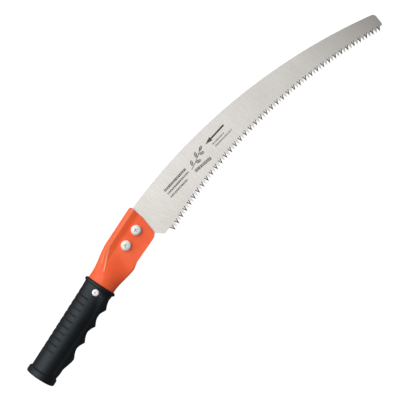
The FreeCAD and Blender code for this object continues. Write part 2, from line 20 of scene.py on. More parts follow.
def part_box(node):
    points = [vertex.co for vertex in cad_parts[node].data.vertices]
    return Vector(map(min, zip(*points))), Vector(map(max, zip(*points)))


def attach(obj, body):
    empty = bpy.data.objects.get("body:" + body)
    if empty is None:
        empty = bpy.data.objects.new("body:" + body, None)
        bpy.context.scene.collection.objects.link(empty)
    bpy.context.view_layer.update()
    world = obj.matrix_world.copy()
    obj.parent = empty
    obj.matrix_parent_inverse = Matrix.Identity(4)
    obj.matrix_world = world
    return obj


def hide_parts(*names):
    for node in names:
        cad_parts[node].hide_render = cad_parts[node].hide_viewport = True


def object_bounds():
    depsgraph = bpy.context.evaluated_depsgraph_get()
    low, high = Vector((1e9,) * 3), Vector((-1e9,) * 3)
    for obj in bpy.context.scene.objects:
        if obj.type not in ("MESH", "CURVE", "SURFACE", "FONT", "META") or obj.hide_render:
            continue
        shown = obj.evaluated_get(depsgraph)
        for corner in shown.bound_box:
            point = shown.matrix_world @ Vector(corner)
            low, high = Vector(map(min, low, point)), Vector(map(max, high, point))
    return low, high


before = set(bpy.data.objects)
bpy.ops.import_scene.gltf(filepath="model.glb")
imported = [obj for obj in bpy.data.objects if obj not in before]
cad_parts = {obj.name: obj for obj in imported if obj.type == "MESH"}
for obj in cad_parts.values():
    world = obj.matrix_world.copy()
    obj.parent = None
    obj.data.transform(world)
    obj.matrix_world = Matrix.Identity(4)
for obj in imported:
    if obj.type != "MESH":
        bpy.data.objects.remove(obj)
cad_low, cad_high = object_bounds()
MM = 0.001
print("nodes:", sorted(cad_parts))
print("box in mm:", [round(v / MM, 1) for v in (*cad_low, *cad_high)])

# %% [markdown]
# ## Places taken from the engineer's model
#
# Pieces that sit on each other need shared places: the screws' axes, the seats of their heads and
# nuts, the rivet's axis and the tube's mouth. They could be typed in again, but then one change
# would part them. Here they are read from the boxes of the engineer's nodes, in millimetres.

# %% Shared places
def node_box(name):
    """Lowest and highest corner of one of the engineer's nodes, in millimetres."""
    low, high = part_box(name)
    return np.array(low) / MM, np.array(high) / MM


def node_middle(name):
    low, high = node_box(name)
    return (low + high) / 2


SCREWS = {place: node_middle("blade_screw_" + place) for place in ("rear", "front")}
SCREW_SEAT = -node_box("lock_washer_rear")[1][2]
WASHER_FOOT = -node_box("lock_washer_rear")[0][2]
NUT_FOOT = -node_box("hex_nut_rear")[0][2]
SCREW_TIP = -node_box("blade_screw_rear")[0][2]
SCREW_TOP = node_box("blade_screw_rear")[1][2]
RIVET = node_middle("grip_rivet")
RIVET_X = float(RIVET[0])
RIVET_TOP = float(node_box("grip_rivet")[1][2])
RIVET_HEAD_HEIGHT = 1.2
GRIP_BACK = float(node_box("rubber_grip")[0][0])
GRIP_FRONT = float(node_box("rubber_grip")[1][0])
SCREW_HOLE_R, RIVET_HOLE_R = 3.2, 2.05
print("screws at", {k: v[:2].round(2).tolist() for k, v in SCREWS.items()})
print("rivet at", RIVET[:2].round(2).tolist(), "grip to x", round(GRIP_FRONT, 2))

# %% [markdown]
# ## A way to write node trees
#
# Both the materials and the repeating shapes are node trees. Placing and linking nodes one by one
# hides the idea behind them, so two small classes do it here. `Flow` wraps one output socket, and
# sums written with it add Math nodes. `Nodes.add` makes any other node in one line.

# %% A socket that can be used in sums
class Flow:
    """An output socket of a node tree, which can be used in sums."""

    def __init__(self, nodes, socket):
        self.nodes = nodes
        self.socket = socket

    def maths(self, operation, *values):
        values = dict(enumerate(values))
        return self.nodes.add("ShaderNodeMath", {"operation": operation}, values)

    def out(self, name):
        """Another output of the same node."""
        return Flow(self.nodes, self.socket.node.outputs[name])

    def __add__(self, other):
        return self.maths("ADD", self, other)

    def __radd__(self, other):
        return self.maths("ADD", other, self)

    def __sub__(self, other):
        return self.maths("SUBTRACT", self, other)

    def __rsub__(self, other):
        return self.maths("SUBTRACT", other, self)

    def __mul__(self, other):
        return self.maths("MULTIPLY", self, other)

    def __rmul__(self, other):
        return self.maths("MULTIPLY", other, self)

    def __truediv__(self, other):
        return self.maths("DIVIDE", self, other)

    def __rtruediv__(self, other):
        return self.maths("DIVIDE", other, self)

    def __abs__(self):
        return self.maths("ABSOLUTE", self)

    def sine(self):
        return self.maths("SINE", self)

    def cosine(self):
        return self.maths("COSINE", self)

    def root(self):
        return self.maths("SQRT", self)

    def fraction(self):
        return self.maths("FRACT", self)

    def above(self, limit):
        return self.maths("GREATER_THAN", self, limit)

    def below(self, limit):
        return self.maths("LESS_THAN", self, limit)

    def lowest(self, other):
        return self.maths("MINIMUM", self, other)

    def highest(self, other):
        return self.maths("MAXIMUM", self, other)

    def soft_lowest(self, other, blend):
        return self.maths("SMOOTH_MIN", self, other, blend)

    def ease(self, start, end, low=0.0, high=1.0):
        """Goes smoothly from low to high as this value goes from start to end."""
        values = {"Value": self, "From Min": start, "From Max": end,
                  "To Min": low, "To Max": high}
        return self.nodes.add("ShaderNodeMapRange", {"interpolation_type": "SMOOTHSTEP"}, values)


print("sums on sockets ready")


# %% One way to add any node
class Nodes:
    """Adds nodes to one tree."""

    def __init__(self, tree):
        self.tree = tree

    def add(self, kind, settings=None, values=None, output=0):
        """One node: its settings first, then the values or links of its sockets."""
        node = self.tree.nodes.new(kind)
        for name, setting in (settings or {}).items():
            if name == "stops":
                self.set_stops(node.color_ramp, setting)
            else:
                setattr(node, name, setting)
        for key, value in (values or {}).items():
            if isinstance(value, Flow):
                self.tree.links.new(value.socket, node.inputs[key])
            else:
                node.inputs[key].default_value = value
        return Flow(self, node.outputs[output]) if node.outputs else node

    def set_stops(self, ramp, stops):
        while len(ramp.elements) < len(stops):
            ramp.elements.new(0.5)
        for element, (place, colour) in zip(ramp.elements, stops):
            element.position = place
            element.color = colour

    def parts_of(self, vector):
        """The three numbers of a vector."""
        x = self.add("ShaderNodeSeparateXYZ", values={0: vector})
        return x, x.out("Y"), x.out("Z")

    def vector(self, x, y, z):
        return self.add("ShaderNodeCombineXYZ", values={0: x, 1: y, 2: z})


print("adding nodes ready")

# %% [markdown]
# ## A way to run geometry trees
#
# A Geometry Nodes tree is a rule with sizes. It could stay on the object as a live modifier, but
# the finished saw is made of plain meshes. So each tree is run once with its sizes, its
# result is taken as a mesh, and the modifier goes.

# %% Geometry trees
SOCKET_KINDS = (
    (int, "NodeSocketInt"), (float, "NodeSocketFloat"), (tuple, "NodeSocketVector"),
    (bpy.types.Object, "NodeSocketObject"), (bpy.types.Material, "NodeSocketMaterial"),
)


def begin_rule(name, sizes):
    """A new geometry tree with one named input for each size."""
    tree = bpy.data.node_groups.new(name, "GeometryNodeTree")
    tree.interface.new_socket("Geometry", in_out="INPUT", socket_type="NodeSocketGeometry")
    tree.interface.new_socket("Geometry", in_out="OUTPUT", socket_type="NodeSocketGeometry")
    for size, value in sizes.items():
        kind = next(k for t, k in SOCKET_KINDS if isinstance(value, t))
        tree.interface.new_socket(size, in_out="INPUT", socket_type=kind)
    nodes = Nodes(tree)
    given = nodes.add("NodeGroupInput")
    return nodes, given


def end_rule(nodes, shape, finish):
    """The last nodes of every tree: real faces, a finish, and the way out."""
    shape = nodes.add("GeometryNodeRealizeInstances", values={"Geometry": shape})
    shape = nodes.add("GeometryNodeSetMaterial", values={"Geometry": shape, "Material": finish})
    nodes.add("NodeGroupOutput", values={"Geometry": shape})


def run_rule(obj, nodes, sizes):
    """Runs a tree on an object and keeps the result as the object's own plain mesh."""
    modifier = obj.modifiers.new("rule", "NODES")
    modifier.node_group = nodes.tree
    for item in nodes.tree.interface.items_tree:
        if item.in_out == "INPUT" and item.name in sizes:
            modifier[item.identifier] = sizes[item.name]
    bake_modifiers(obj)


def bake_modifiers(obj):
    """Turns an object with modifiers into a plain mesh."""
    graph = bpy.context.evaluated_depsgraph_get()
    graph.update()
    mesh = bpy.data.meshes.new_from_object(obj.evaluated_get(graph), depsgraph=graph)
    obj.modifiers.clear()
    old = obj.data
    obj.data = mesh
    mesh.name = obj.name
    bpy.data.meshes.remove(old)


print("geometry trees ready")

# %% [markdown]
# ## A way to make meshes
#
# Lofted skins, turned heads and cut plates all come down to lists of points and faces. The points
# are worked out in millimetres, because a maker reads those, and become metres as the mesh is
# made.

# %% Pieces from points and faces
def new_piece(name, points, faces, smooth=None):
    """An object from points in millimetres; smooth is the angle past which an edge stays sharp."""
    mesh = bpy.data.meshes.new(name)
    mesh.from_pydata([Vector(p) * MM for p in points], [], [list(f) for f in faces])
    mesh.validate()
    mesh.update()
    obj = bpy.data.objects.new(name, mesh)
    bpy.context.scene.collection.objects.link(obj)
    if smooth is not None:
        smooth_faces(obj, smooth)
    return obj


def smooth_faces(obj, angle):
    """Smooth shading, with edges sharper than the angle kept sharp."""
    mesh = obj.data
    shading = bmesh.new()
    shading.from_mesh(mesh)
    for face in shading.faces:
        face.smooth = True
    for edge in shading.edges:
        edge.smooth = len(edge.link_faces) == 2 and edge.calc_face_angle(4.0) < math.radians(angle)
    shading.to_mesh(mesh)
    shading.free()


def remove_piece(obj):
    mesh = obj.data
    bpy.data.objects.remove(obj)
    bpy.data.meshes.remove(mesh)


print("pieces ready")


# %% Rings and turned shapes
def ring_faces(rows, columns, close_rows=False):
    """Quads between rows of points that each close round on themselves."""
    faces = []
    last = rows if close_rows else rows - 1
    for i in range(last):
        for j in range(columns):
            a, b = i * columns + j, i * columns + (j + 1) % columns
            c = ((i + 1) % rows) * columns
            faces.append((a, b, c + (j + 1) % columns, c + j))
    return faces


def circle(radius, steps, centre=(0.0, 0.0)):
    """Points evenly spaced round a circle."""
    turns = [2 * math.pi * i / steps for i in range(steps)]
    return [(centre[0] + radius * math.cos(a), centre[1] + radius * math.sin(a)) for a in turns]


def turned(name, profile, steps, centre=(0, 0), smooth=35):
    """A shape turned about an upright axis from (radius, height) points, which start and end on it."""
    inner = profile[1:-1]
    points = [(*centre, profile[0][1])]
    for radius, height in inner:
        points += [(*p, height) for p in circle(radius, steps, centre)]
    points.append((*centre, profile[-1][1]))
    faces = [tuple(1 + k for k in face) for face in ring_faces(len(inner), steps)]
    end = len(points) - 1
    for j in range(steps):
        following = (j + 1) % steps
        faces.append((0, 1 + following, 1 + j))
        faces.append((end, end - steps + j, end - steps + following))
    return new_piece(name, points, faces, smooth)


def place_on_body(obj, slot, *nodes):
    """A finished piece: it rides on the saw's one body and stands for the engineer's nodes."""
    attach(obj, "root")
    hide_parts(*nodes)
    print(f"{obj.name}: {len(obj.data.polygons)} faces")


print("rings and turned shapes ready")

# %% [markdown]
# ## Finishes
#
# Each finish is a Principled shader whose colour, roughness and bump change slightly over the
# surface, as real ones do. The patterns read Object coordinates. Every piece's object sits at the
# origin, so these are plain places on the saw, in metres.

# %% How a finish is made
class Finish(Nodes):
    """A material with a Principled shader, and short words for its patterns."""

    def __init__(self, name, **fixed):
        self.material = bpy.data.materials.new(name)
        self.material.use_nodes = True
        super().__init__(self.material.node_tree)
        self.tree.nodes.clear()
        self.shader = self.tree.nodes.new("ShaderNodeBsdfPrincipled")
        surface = {"Surface": Flow(self, self.shader.outputs[0])}
        self.way_out = self.add("ShaderNodeOutputMaterial", values=surface)
        self.place = self.add("ShaderNodeTexCoord", output="Object")
        for name_of_socket, value in fixed.items():
            self.shader.inputs[name_of_socket.replace("_", " ")].default_value = value

    def feed(self, socket, flow):
        self.tree.links.new(flow.socket, self.shader.inputs[socket])

    def noise(self, size_mm, detail=3.0, place=None, roughness=0.55):
        """A cloudy pattern, 0 to 1, whose patches are about size_mm across."""
        values = {"Vector": place or self.place, "Scale": 1 / (size_mm * MM), "Detail": detail,
                  "Roughness": roughness}
        return self.add("ShaderNodeTexNoise", {"noise_dimensions": "3D"}, values)

    def blend(self, share, first, second):
        """A colour between two; the Mix node's colour sockets are numbers 6 and 7, and 2 comes out."""
        return self.add("ShaderNodeMix", {"data_type": "RGBA"}, {0: share, 6: first, 7: second}, 2)

    def bump(self, height, depth_mm, strength=1.0):
        values = {"Height": height, "Distance": depth_mm * MM, "Strength": strength}
        self.feed("Normal", self.add("ShaderNodeBump", values=values))


def colour(red, green, blue):
    """A screen colour, 0 to 255, as the light values that a shader takes."""
    linear = [((c / 255 + 0.055) / 1.055) ** 2.4 if c > 10 else c / 255 / 12.92
              for c in (red, green, blue)]
    return (*linear, 1.0)


print("finish class ready")

# %% [markdown]
# ### Orange paint
#
# The tube wears a glossy baked paint. A flat orange would look like plastic. Real paint has a clear
# gloss, a very fine orange-peel ripple, and slow changes in depth of colour where it lies thinner.
# The ripple goes into the bump and the slow change into the colour. Along the crest of the rolled
# fold, and along the crease that the press leaves, pale lines are painted into the colour: painted
# highlights where the gloss catches the light. They are worked out from the same places that shape
# the clamp further on.

# %% Orange paint
CREST_Y = 16.4              # crest of the clamp's rolled fold
CREASE_START, CREASE_END = 137.0, 168.0         # x of the crease's two ends
CREASE_Y, CREASE_CLIMB = 4.5, 12.0              # its y at the start, and its climb to the end
FAINT_HIGHLIGHT = 4.2            # a fainter painted highlight line, this far above the crease


def painted_highlight_lines(x, y):
    """How strongly the painted highlight lines show at a place in millimetres, from 0 to 1."""
    along = (x - CREASE_START) / (CREASE_END - CREASE_START)
    above_crease = y - CREASE_Y - CREASE_CLIMB * along
    crest = abs(y - CREST_Y).ease(1.0, 0.2) * x.ease(CREASE_END - 10, CREASE_END + 6)
    crease_highlight = abs(above_crease).ease(1.15, 0.25)
    crease_highlight = crease_highlight * x.ease(CREASE_START + 0.5, CREASE_START + 6)
    crease_highlight = crease_highlight * x.ease(CREASE_END + 2, CREASE_END - 8)
    faint_highlight = abs(above_crease - FAINT_HIGHLIGHT).ease(1.0, 0.2)
    faint_highlight = faint_highlight * x.ease(CREASE_START + 7, CREASE_START + 11)
    faint_highlight = faint_highlight * x.ease(CREASE_END - 10, CREASE_END - 16)
    return (crest * 0.34).highest(crease_highlight * 0.95).highest(faint_highlight * 0.4)


def make_orange_paint():
    finish = Finish("baked_orange_paint", Coat_Weight=0.11, Coat_Roughness=0.14,
                    Specular_IOR_Level=0.16)
    x, y, z = finish.parts_of(finish.place)
    thickness = finish.noise(30, detail=2.0).ease(0.35, 0.65)
    paint = finish.blend(thickness, colour(241, 95, 53), colour(249, 105, 61))
    # painted highlight: pale orange is painted into the colour along the fold's crest and the crease
    painted_highlight = painted_highlight_lines(x / MM, y / MM) * (0.7 + 0.3 * finish.noise(5))
    finish.feed("Base Color", finish.blend(painted_highlight, paint, colour(255, 178, 138)))
    finish.feed("Roughness", 0.28 + 0.10 * finish.noise(6))
    finish.bump(finish.noise(0.9, detail=2.0), 0.02, 0.15)
    return finish.material


orange_paint = make_orange_paint()
print("made", orange_paint.name)

# %% [markdown]
# ### Black rubber
#
# Moulded rubber is nearly black, never shiny, and carries the fine grain of its mould. The grain is
# a small bump at two scales, and handling leaves some patches a little smoother and greyer. The
# shallow bands across the spine side are painted darker, as painted shade in their grooves, and
# are made duller. Its pattern uses the same places along the grip as the bands that are moulded
# further on.

# %% Black rubber
FIRST_BAND, LAST_BAND, BAND_PITCH = 31.5, 111.0, 8.05
BAND_FADE = 4.0             # length over which the first and last bands fade out


def make_black_rubber():
    finish = Finish("moulded_black_rubber", Specular_IOR_Level=0.46,
                    Specular_Tint=(0.80, 0.93, 1.0, 1.0))
    x, y, z = finish.parts_of(finish.place)
    x, y = x / MM, y / MM
    band = abs(((x - FIRST_BAND) / BAND_PITCH).fraction() * 2 - 1).ease(0.70, 0.95)
    band = band * x.ease(FIRST_BAND - BAND_FADE, FIRST_BAND)
    band = band * x.ease(LAST_BAND, LAST_BAND - BAND_FADE)
    # painted shade: the bands' grooves are painted darker in the colour, and made rougher
    painted_band_shade = band * y.ease(-2.0, 5.0)
    patches = finish.noise(14, detail=4.0)
    rubber = finish.blend(patches.ease(0.3, 0.7), colour(3, 4, 6), colour(7, 9, 13))
    finish.feed("Base Color", finish.blend(painted_band_shade * 0.65, rubber, colour(1, 1, 2)))
    finish.feed("Roughness", 0.46 + 0.14 * patches + 0.2 * painted_band_shade)
    grain = finish.noise(0.55, detail=4.0) + 0.5 * finish.noise(1.9, detail=2.0)
    finish.bump(grain, 0.06, 0.5)
    return finish.material


black_rubber = make_black_rubber()
print("made", black_rubber.name)

# %% [markdown]
# ### Bright fasteners
#
# The screws, nuts and washers are zinc plated steel, and the rivet is aluminium. Both are pale and
# softly blurred, told apart by their tint. A full metal would mirror the dark side of the room and
# turn grey, so the shader is only partly metallic, as a dull plate looks. The faint mottling of the
# plate goes into the colour and the roughness.

# %% Bright fasteners
def make_bright_metal(name, light, dark, metallic, roughness=0.40, patch_mm=1.0):
    finish = Finish(name, Metallic=metallic)
    patches = finish.noise(patch_mm, detail=4.0)
    finish.feed("Base Color", finish.blend(patches.ease(0.3, 0.7), colour(*dark), colour(*light)))
    finish.feed("Roughness", roughness + 0.10 * patches)
    finish.bump(finish.noise(0.35, detail=2.0), 0.012, 0.4)
    return finish.material


plated_steel = make_bright_metal("bright_zinc_plate", (236, 238, 233), (220, 223, 218), 0.16,
                                 roughness=0.42, patch_mm=1.4)
rivet_aluminium = make_bright_metal("bright_aluminium", (244, 240, 246), (230, 226, 233), 0.25,
                                    patch_mm=1.1)
mandrel_steel = make_bright_metal("broken_stem_steel", (214, 210, 215), (188, 184, 190), 0.40,
                                  patch_mm=0.6)
print("made", plated_steel.name, rivet_aluminium.name, mandrel_steel.name)

# %% [markdown]
# ## The blade's outline
#
# The blade is one flat plate: a hollow row of teeth below, a long arched spine above, a slanted
# nose, and a tang between the clamp's panels. A plate could be drawn by hand, but every edge here
# is a line or an arc, so the outline is worked out from a few radii. Places along the teeth are
# given by their run along the circle that the tooth tips lie on, and their depth in the blade.

# %% The blade's sizes, in millimetres
REAR_X = float(SCREWS["rear"][0])
BLADE_THICKNESS = 1.3
TEETH = 79
TOOTHED_LENGTH = 332.0
PITCH = TOOTHED_LENGTH / TEETH
TOOTH_DEPTH = 4.8
TOOTH_LEAN = 0.22 * PITCH
GRIND = 1.1                 # how far the grinding slants each gullet across the blade's thickness
TIP_RADIUS = 650.4          # circle that the tooth tips lie on
ARC_TOP, FIRST_TOOTH = 67.6, 47.0   # its highest point and the first tooth, ahead of REAR_X
TIP_CENTRE = np.array([REAR_X + ARC_TOP, -36.4 - TIP_RADIUS])
FIRST_ANGLE = math.asin((FIRST_TOOTH - ARC_TOP) / TIP_RADIUS)
SPINE_RADIUS = 687.3        # the spine is an arc too, a little flatter
SPINE_CENTRE = np.array([REAR_X + 3.8, node_box("blade")[1][1] - SPINE_RADIUS])
TANG_BACK, TANG_LOW = node_box("blade")[0][0], -18.9
HEEL = np.array([REAR_X + 35.2, TANG_LOW - 9.3])
NECK = np.array([HEEL[0] - 4.8, TANG_LOW])
HEEL_RADIUS = 3.0
NOSE_LEAN = math.radians(18)
NOSE_GAP = 1.4              # from the end of the toothed length to the nose's lower corner
NOSE_RADIUS, NOSE_LOW_RADIUS = 5.0, 2.6
BURR = 0.14                 # width of the worn edge along the plate


def tooth_place(run, depth):
    """A point by its run along the tips' circle and its depth in the blade."""
    a = FIRST_ANGLE + run / TIP_RADIUS
    reach = TIP_RADIUS + depth
    return TIP_CENTRE + reach * np.array([math.sin(a), math.cos(a)])


def spine_height(x):
    return SPINE_CENTRE[1] + math.sqrt(SPINE_RADIUS ** 2 - (x - SPINE_CENTRE[0]) ** 2)


def unit(v):
    return v / np.linalg.norm(v)


def rounded(before, point, after, radius, steps=8):
    """Points along the arc that rounds a corner of an outline."""
    back, ahead = unit(before - point), unit(after - point)
    half = math.acos(np.clip(back @ ahead, -1, 1)) / 2
    centre = point + unit(back + ahead) * radius / math.sin(half)
    start = point + back * radius / math.tan(half) - centre
    end = point + ahead * radius / math.tan(half) - centre
    turn = math.atan2(start[0] * end[1] - start[1] * end[0], start @ end)
    first = math.atan2(start[1], start[0])
    return [centre + radius * np.array([math.cos(first + turn * i / steps),
                                        math.sin(first + turn * i / steps)])
            for i in range(steps + 1)]


print("tooth pitch:", round(PITCH, 3), "mm, first tooth at", tooth_place(0, 0).round(1).tolist())


# %% The edge of the plate
SPINE_STEPS = 90


def edge_path():
    """The plate's edge from the last gullet round the nose, spine, tang and heel to the first."""
    nose_low = tooth_place(TOOTHED_LENGTH + NOSE_GAP, TOOTH_DEPTH)
    way = np.array([math.sin(NOSE_LEAN), math.cos(NOSE_LEAN)])
    offset = nose_low - SPINE_CENTRE
    along = -(offset @ way) + math.sqrt((offset @ way) ** 2 - offset @ offset + SPINE_RADIUS ** 2)
    nose_top = nose_low + way * along
    spine_back = np.array([nose_top[0] - 20, spine_height(nose_top[0] - 20)])
    path = rounded(tooth_place(TOOTHED_LENGTH - PITCH / 2, TOOTH_DEPTH), nose_low, nose_top,
                   NOSE_LOW_RADIUS)
    path += rounded(nose_low, nose_top, spine_back, NOSE_RADIUS)
    for x in np.linspace(path[-1][0] - 4, TANG_BACK + 2, SPINE_STEPS):
        path.append(np.array([x, spine_height(x)]))
    tang_low = np.array([TANG_BACK, TANG_LOW])
    path += [np.array([TANG_BACK, spine_height(TANG_BACK)]), tang_low]
    path += rounded(tang_low, NECK, HEEL, HEEL_RADIUS)
    path += rounded(NECK, HEEL, tooth_place(-PITCH / 2, TOOTH_DEPTH), HEEL_RADIUS)
    return path


EDGE = edge_path()
print("edge points:", len(EDGE), "nose at", EDGE[0].round(1).tolist())

# %% [markdown]
# ## The blade's plate
#
# The plate has two flat faces with round holes for the screws, a narrow worn edge all round, and no
# wall along the teeth, because the teeth close it there. Each gullet is ground at a slant, so its
# root lies further along on one face than on the other, by turns.

# %% The gullets' roots and the worn edge
GULLET_DEPTH = 5.7          # the ground gullets reach a little deeper than the blank's teeth
ROOT = GULLET_DEPTH * (PITCH + GRIND) / PITCH
HALF_BLADE = BLADE_THICKNESS / 2


def root_place(gullet, side):
    """Where a gullet's slanted root meets one face; side is 1 for the screw heads' side."""
    slant = GRIND / 2 * side * (-1 if gullet % 2 else 1)
    return tooth_place(gullet * PITCH - PITCH / 2 + slant, ROOT)


def inset_path(path, width):
    """The path moved into the plate by a width; the path runs with the plate on its left."""
    points = [root_place(TEETH, 1)] + path + [root_place(0, 1)]
    moved = []
    for before, point, after in zip(points, points[1:], points[2:]):
        ways = [unit(w) for w in (point - before, after - point) if np.linalg.norm(w) > 1e-6]
        way = unit(sum(ways))
        moved.append(point + width * np.array([-way[1], way[0]]))
    return moved


print("roots are", round(ROOT, 2), "mm deep on the blade's faces")


# %% Make the plate
def make_plate():
    """The plate from rings of points, each numbered by where it starts."""
    points, faces = [], []
    inner = inset_path(EDGE, BURR)
    holes = [circle(SCREW_HOLE_R, 40, screw[:2]) for screw in SCREWS.values()]
    rings = {}
    for side in (1, -1):
        roots = [root_place(k, side) for k in range(TEETH + 1)]
        face_ring = inner + roots
        rings[side] = {"face": len(points), "roots": len(points) + len(inner)}
        points += [(*p, side * HALF_BLADE) for p in face_ring]
        rings[side]["holes"] = len(points)
        for hole in holes:
            points += [(*p, side * HALF_BLADE) for p in hole]
        rings[side]["wall"] = len(points)
        points += [(*p, side * (HALF_BLADE - BURR)) for p in EDGE]
        loops = [[Vector((*p, 0)) for p in loop] for loop in (face_ring, *holes)]
        for triangle in tessellate_polygon(loops):
            faces.append(tuple(rings[side]["face"] + k for k in triangle))
    top, low = rings[1], rings[-1]
    bands = [(top["face"], top["wall"]), (top["wall"], low["wall"]), (low["wall"], low["face"])]
    last = len(EDGE) - 1
    for i in range(last):
        faces += [(upper + i, upper + i + 1, lower + i + 1, lower + i) for upper, lower in bands]
    for end, root in ((0, TEETH), (last, 0)):
        ring = [top["roots"] + root, top["face"] + end, top["wall"] + end,
                low["wall"] + end, low["face"] + end, low["roots"] + root]
        faces.append(ring if root else ring[::-1])
    for h, hole in enumerate(holes):
        start, steps = h * len(hole), len(hole)
        for i in range(steps):
            a, b = start + i, start + (i + 1) % steps
            faces.append((top["holes"] + a, top["holes"] + b, low["holes"] + b, low["holes"] + a))
    return new_piece("saw_blade", points, faces)


blade = make_plate()
print("plate:", len(blade.data.vertices), "points,", len(blade.data.polygons), "faces")

# %% [markdown]
# ## The teeth
#
# A pruning saw's teeth are ground on both flanks, one tooth from above and the next from below.
# That leaves each tooth as a thin knife whose flat face is a smaller triangle than its outline.
# There are 79, all alike but for the side they are ground from. So two teeth are made, and
# a Geometry Nodes rule sets them by turns along the arc and welds them to the plate.

# %% One tooth for each side
def make_tooth(name, side):
    """A tooth with its ground flanks facing one side, placed as if the tips' circle passed here."""
    share = (PITCH - GRIND) / (PITCH + GRIND)
    points = []
    for z, width, size in ((side, PITCH - GRIND, share), (-side, PITCH + GRIND, 1.0)):
        for run, depth in ((-width / 2, ROOT), (width / 2, ROOT),
                           (-TOOTH_LEAN * size, ROOT * (1 - size))):
            a = run / TIP_RADIUS
            reach = TIP_RADIUS + depth
            points.append((reach * math.sin(a), reach * math.cos(a) - TIP_RADIUS, z * HALF_BLADE))
    faces = [(0, 2, 1), (3, 4, 5), (0, 3, 5, 2), (1, 2, 5, 4)]
    if side < 0:
        faces = [face[::-1] for face in faces]
    return new_piece(name, points, faces)


tooth_up = make_tooth("tooth_ground_above", 1)
tooth_down = make_tooth("tooth_ground_below", -1)


# %% The rule that sets the teeth
def set_teeth(plate, finish):
    sizes = {
        "Even tooth": tooth_up, "Odd tooth": tooth_down, "Teeth": TEETH,
        "Tip circle radius": TIP_RADIUS * MM,
        "Tip circle centre": (TIP_CENTRE[0] * MM, TIP_CENTRE[1] * MM, 0.0),
        "First angle": FIRST_ANGLE, "Step angle": PITCH / TIP_RADIUS, "Finish": finish,
    }
    nodes, given = begin_rule("teeth along an arc", sizes)
    number = nodes.add("GeometryNodeInputIndex")
    angle = given.out("First angle") + number * given.out("Step angle")
    radius = given.out("Tip circle radius")
    spot = nodes.vector(radius * angle.sine(), radius * angle.cosine(), 0.0)
    spot = nodes.add("ShaderNodeVectorMath", {"operation": "ADD"},
                     {0: spot, 1: given.out("Tip circle centre")})
    spots = nodes.add("GeometryNodePoints", values={"Count": given.out("Teeth"), "Position": spot})
    turn = nodes.vector(0.0, 0.0, 0.0 - angle)
    even = (number * 0.5).fraction().below(0.25)
    rows = []
    for size, chosen in (("Even tooth", even), ("Odd tooth", 1.0 - even)):
        tooth = nodes.add("GeometryNodeObjectInfo", values={"Object": given.out(size)},
                          output="Geometry")
        values = {"Points": spots, "Selection": chosen, "Instance": tooth, "Rotation": turn}
        rows.append(nodes.add("GeometryNodeInstanceOnPoints", values=values))
    joined = nodes.add("GeometryNodeJoinGeometry")
    for part in (given, *rows):
        nodes.tree.links.new(part.socket, joined.socket.node.inputs[0])
    real = nodes.add("GeometryNodeRealizeInstances", values={"Geometry": joined})
    values = {"Geometry": real, "Distance": 0.003 * MM}
    welded = nodes.add("GeometryNodeMergeByDistance", values=values)
    end_rule(nodes, welded, given.out("Finish"))
    run_rule(plate, nodes, sizes)
    remove_piece(tooth_up)
    remove_piece(tooth_down)


def point_outwards(obj):
    """Turns the faces of a closed mesh outwards."""
    shape = bmesh.new()
    shape.from_mesh(obj.data)
    bmesh.ops.recalc_face_normals(shape, faces=shape.faces)
    open_edges = sum(1 for edge in shape.edges if len(edge.link_faces) != 2)
    shape.to_mesh(obj.data)
    shape.free()
    print(f"{obj.name}: {open_edges} open edges")


print("tooth rule ready")

# %% [markdown]
# ### Ground blade steel
#
# The blade is ground across its width and then polished a little, so it is bright but not a mirror.
# The grinding marks run across the blade, square to the teeth's arc. So the pattern is read in
# polar terms, by the angle about the arc's centre and the distance from it: fine along the arc and
# stretched across it. The ground flanks of the teeth are left darker by the heat of hardening. The
# colour darkens towards the nose as a painted reflection, and the steel is a little less than fully
# metallic, as a ground face is.
#
# The face also carries print: an arrow for the pull stroke, a plain leafy twig, and hatched bars in
# place of words. An image would blur when the blade is seen close up. So each printed shape is a
# sum on distances along and across a line through its middle, and the darkest one wins.

# %% What is printed
PRINT_BARS = (
    # middle x, middle y, length, height, turn in degrees, weight of the ink
    (270.9, -4.9, 35.0, 3.0, -9.5, 0.95),
    (270.1, -9.7, 34.5, 2.1, -9.5, 0.85),
    (265.3, -14.0, 28.0, 2.1, -9.5, 0.85),
    (303.3, -21.9, 24.0, 3.6, -15.7, 0.90),
    (337.2, -20.1, 18.5, 1.8, -10.7, 0.70),
    (341.2, -24.7, 27.5, 1.8, -10.7, 0.70),
)
HATCH = 2.3                 # from one stroke of a bar to the next
PRINT_SOFT = 0.12           # half the width of a printed edge
ARROW_TAIL, ARROW_TIP = np.array([353.8, -16.6]), np.array([323.8, -11.6])
ARROW_SHAFT, ARROW_HEAD, ARROW_HALF = 2.0, 9.0, 2.6
TWIG = (304.5, -12.5)
STEM_TURN, STEM_BEND, STEM_LENGTH, STEM_WIDTH = 12.0, 0.006, 27.0, 0.9
LEAVES = ((-10.0, 1), (-5.0, -1), (0.5, 1), (5.0, -1), (9.5, 0))   # place along the stem, side
LEAF_LENGTH, LEAF_HALF, LEAF_TURN, LEAF_RIB = 8.5, 1.7, 38.0, 0.25
print("print:", len(PRINT_BARS), "bars,", len(LEAVES), "leaves and an arrow")


# %% How it is printed
class Print:
    """Ink on the blade's face: 0 is bare steel and 1 is full ink."""

    def __init__(self, x, y):
        self.x = x
        self.y = y
        self.ink = 0.0

    def add(self, shape, weight):
        self.ink = (shape * weight).highest(self.ink)

    def line(self, middle, turn):
        """Distances along and across a line through a point of the blade."""
        c, s = math.cos(math.radians(turn)), math.sin(math.radians(turn))
        dx, dy = self.x - float(middle[0]), self.y - float(middle[1])
        return dx * c + dy * s, dy * c - dx * s


def bar(along, wide, length, height):
    ends = abs(along).ease(length / 2 + PRINT_SOFT, length / 2 - PRINT_SOFT)
    sides = abs(wide).ease(height / 2 + PRINT_SOFT, height / 2 - PRINT_SOFT)
    return ends * sides


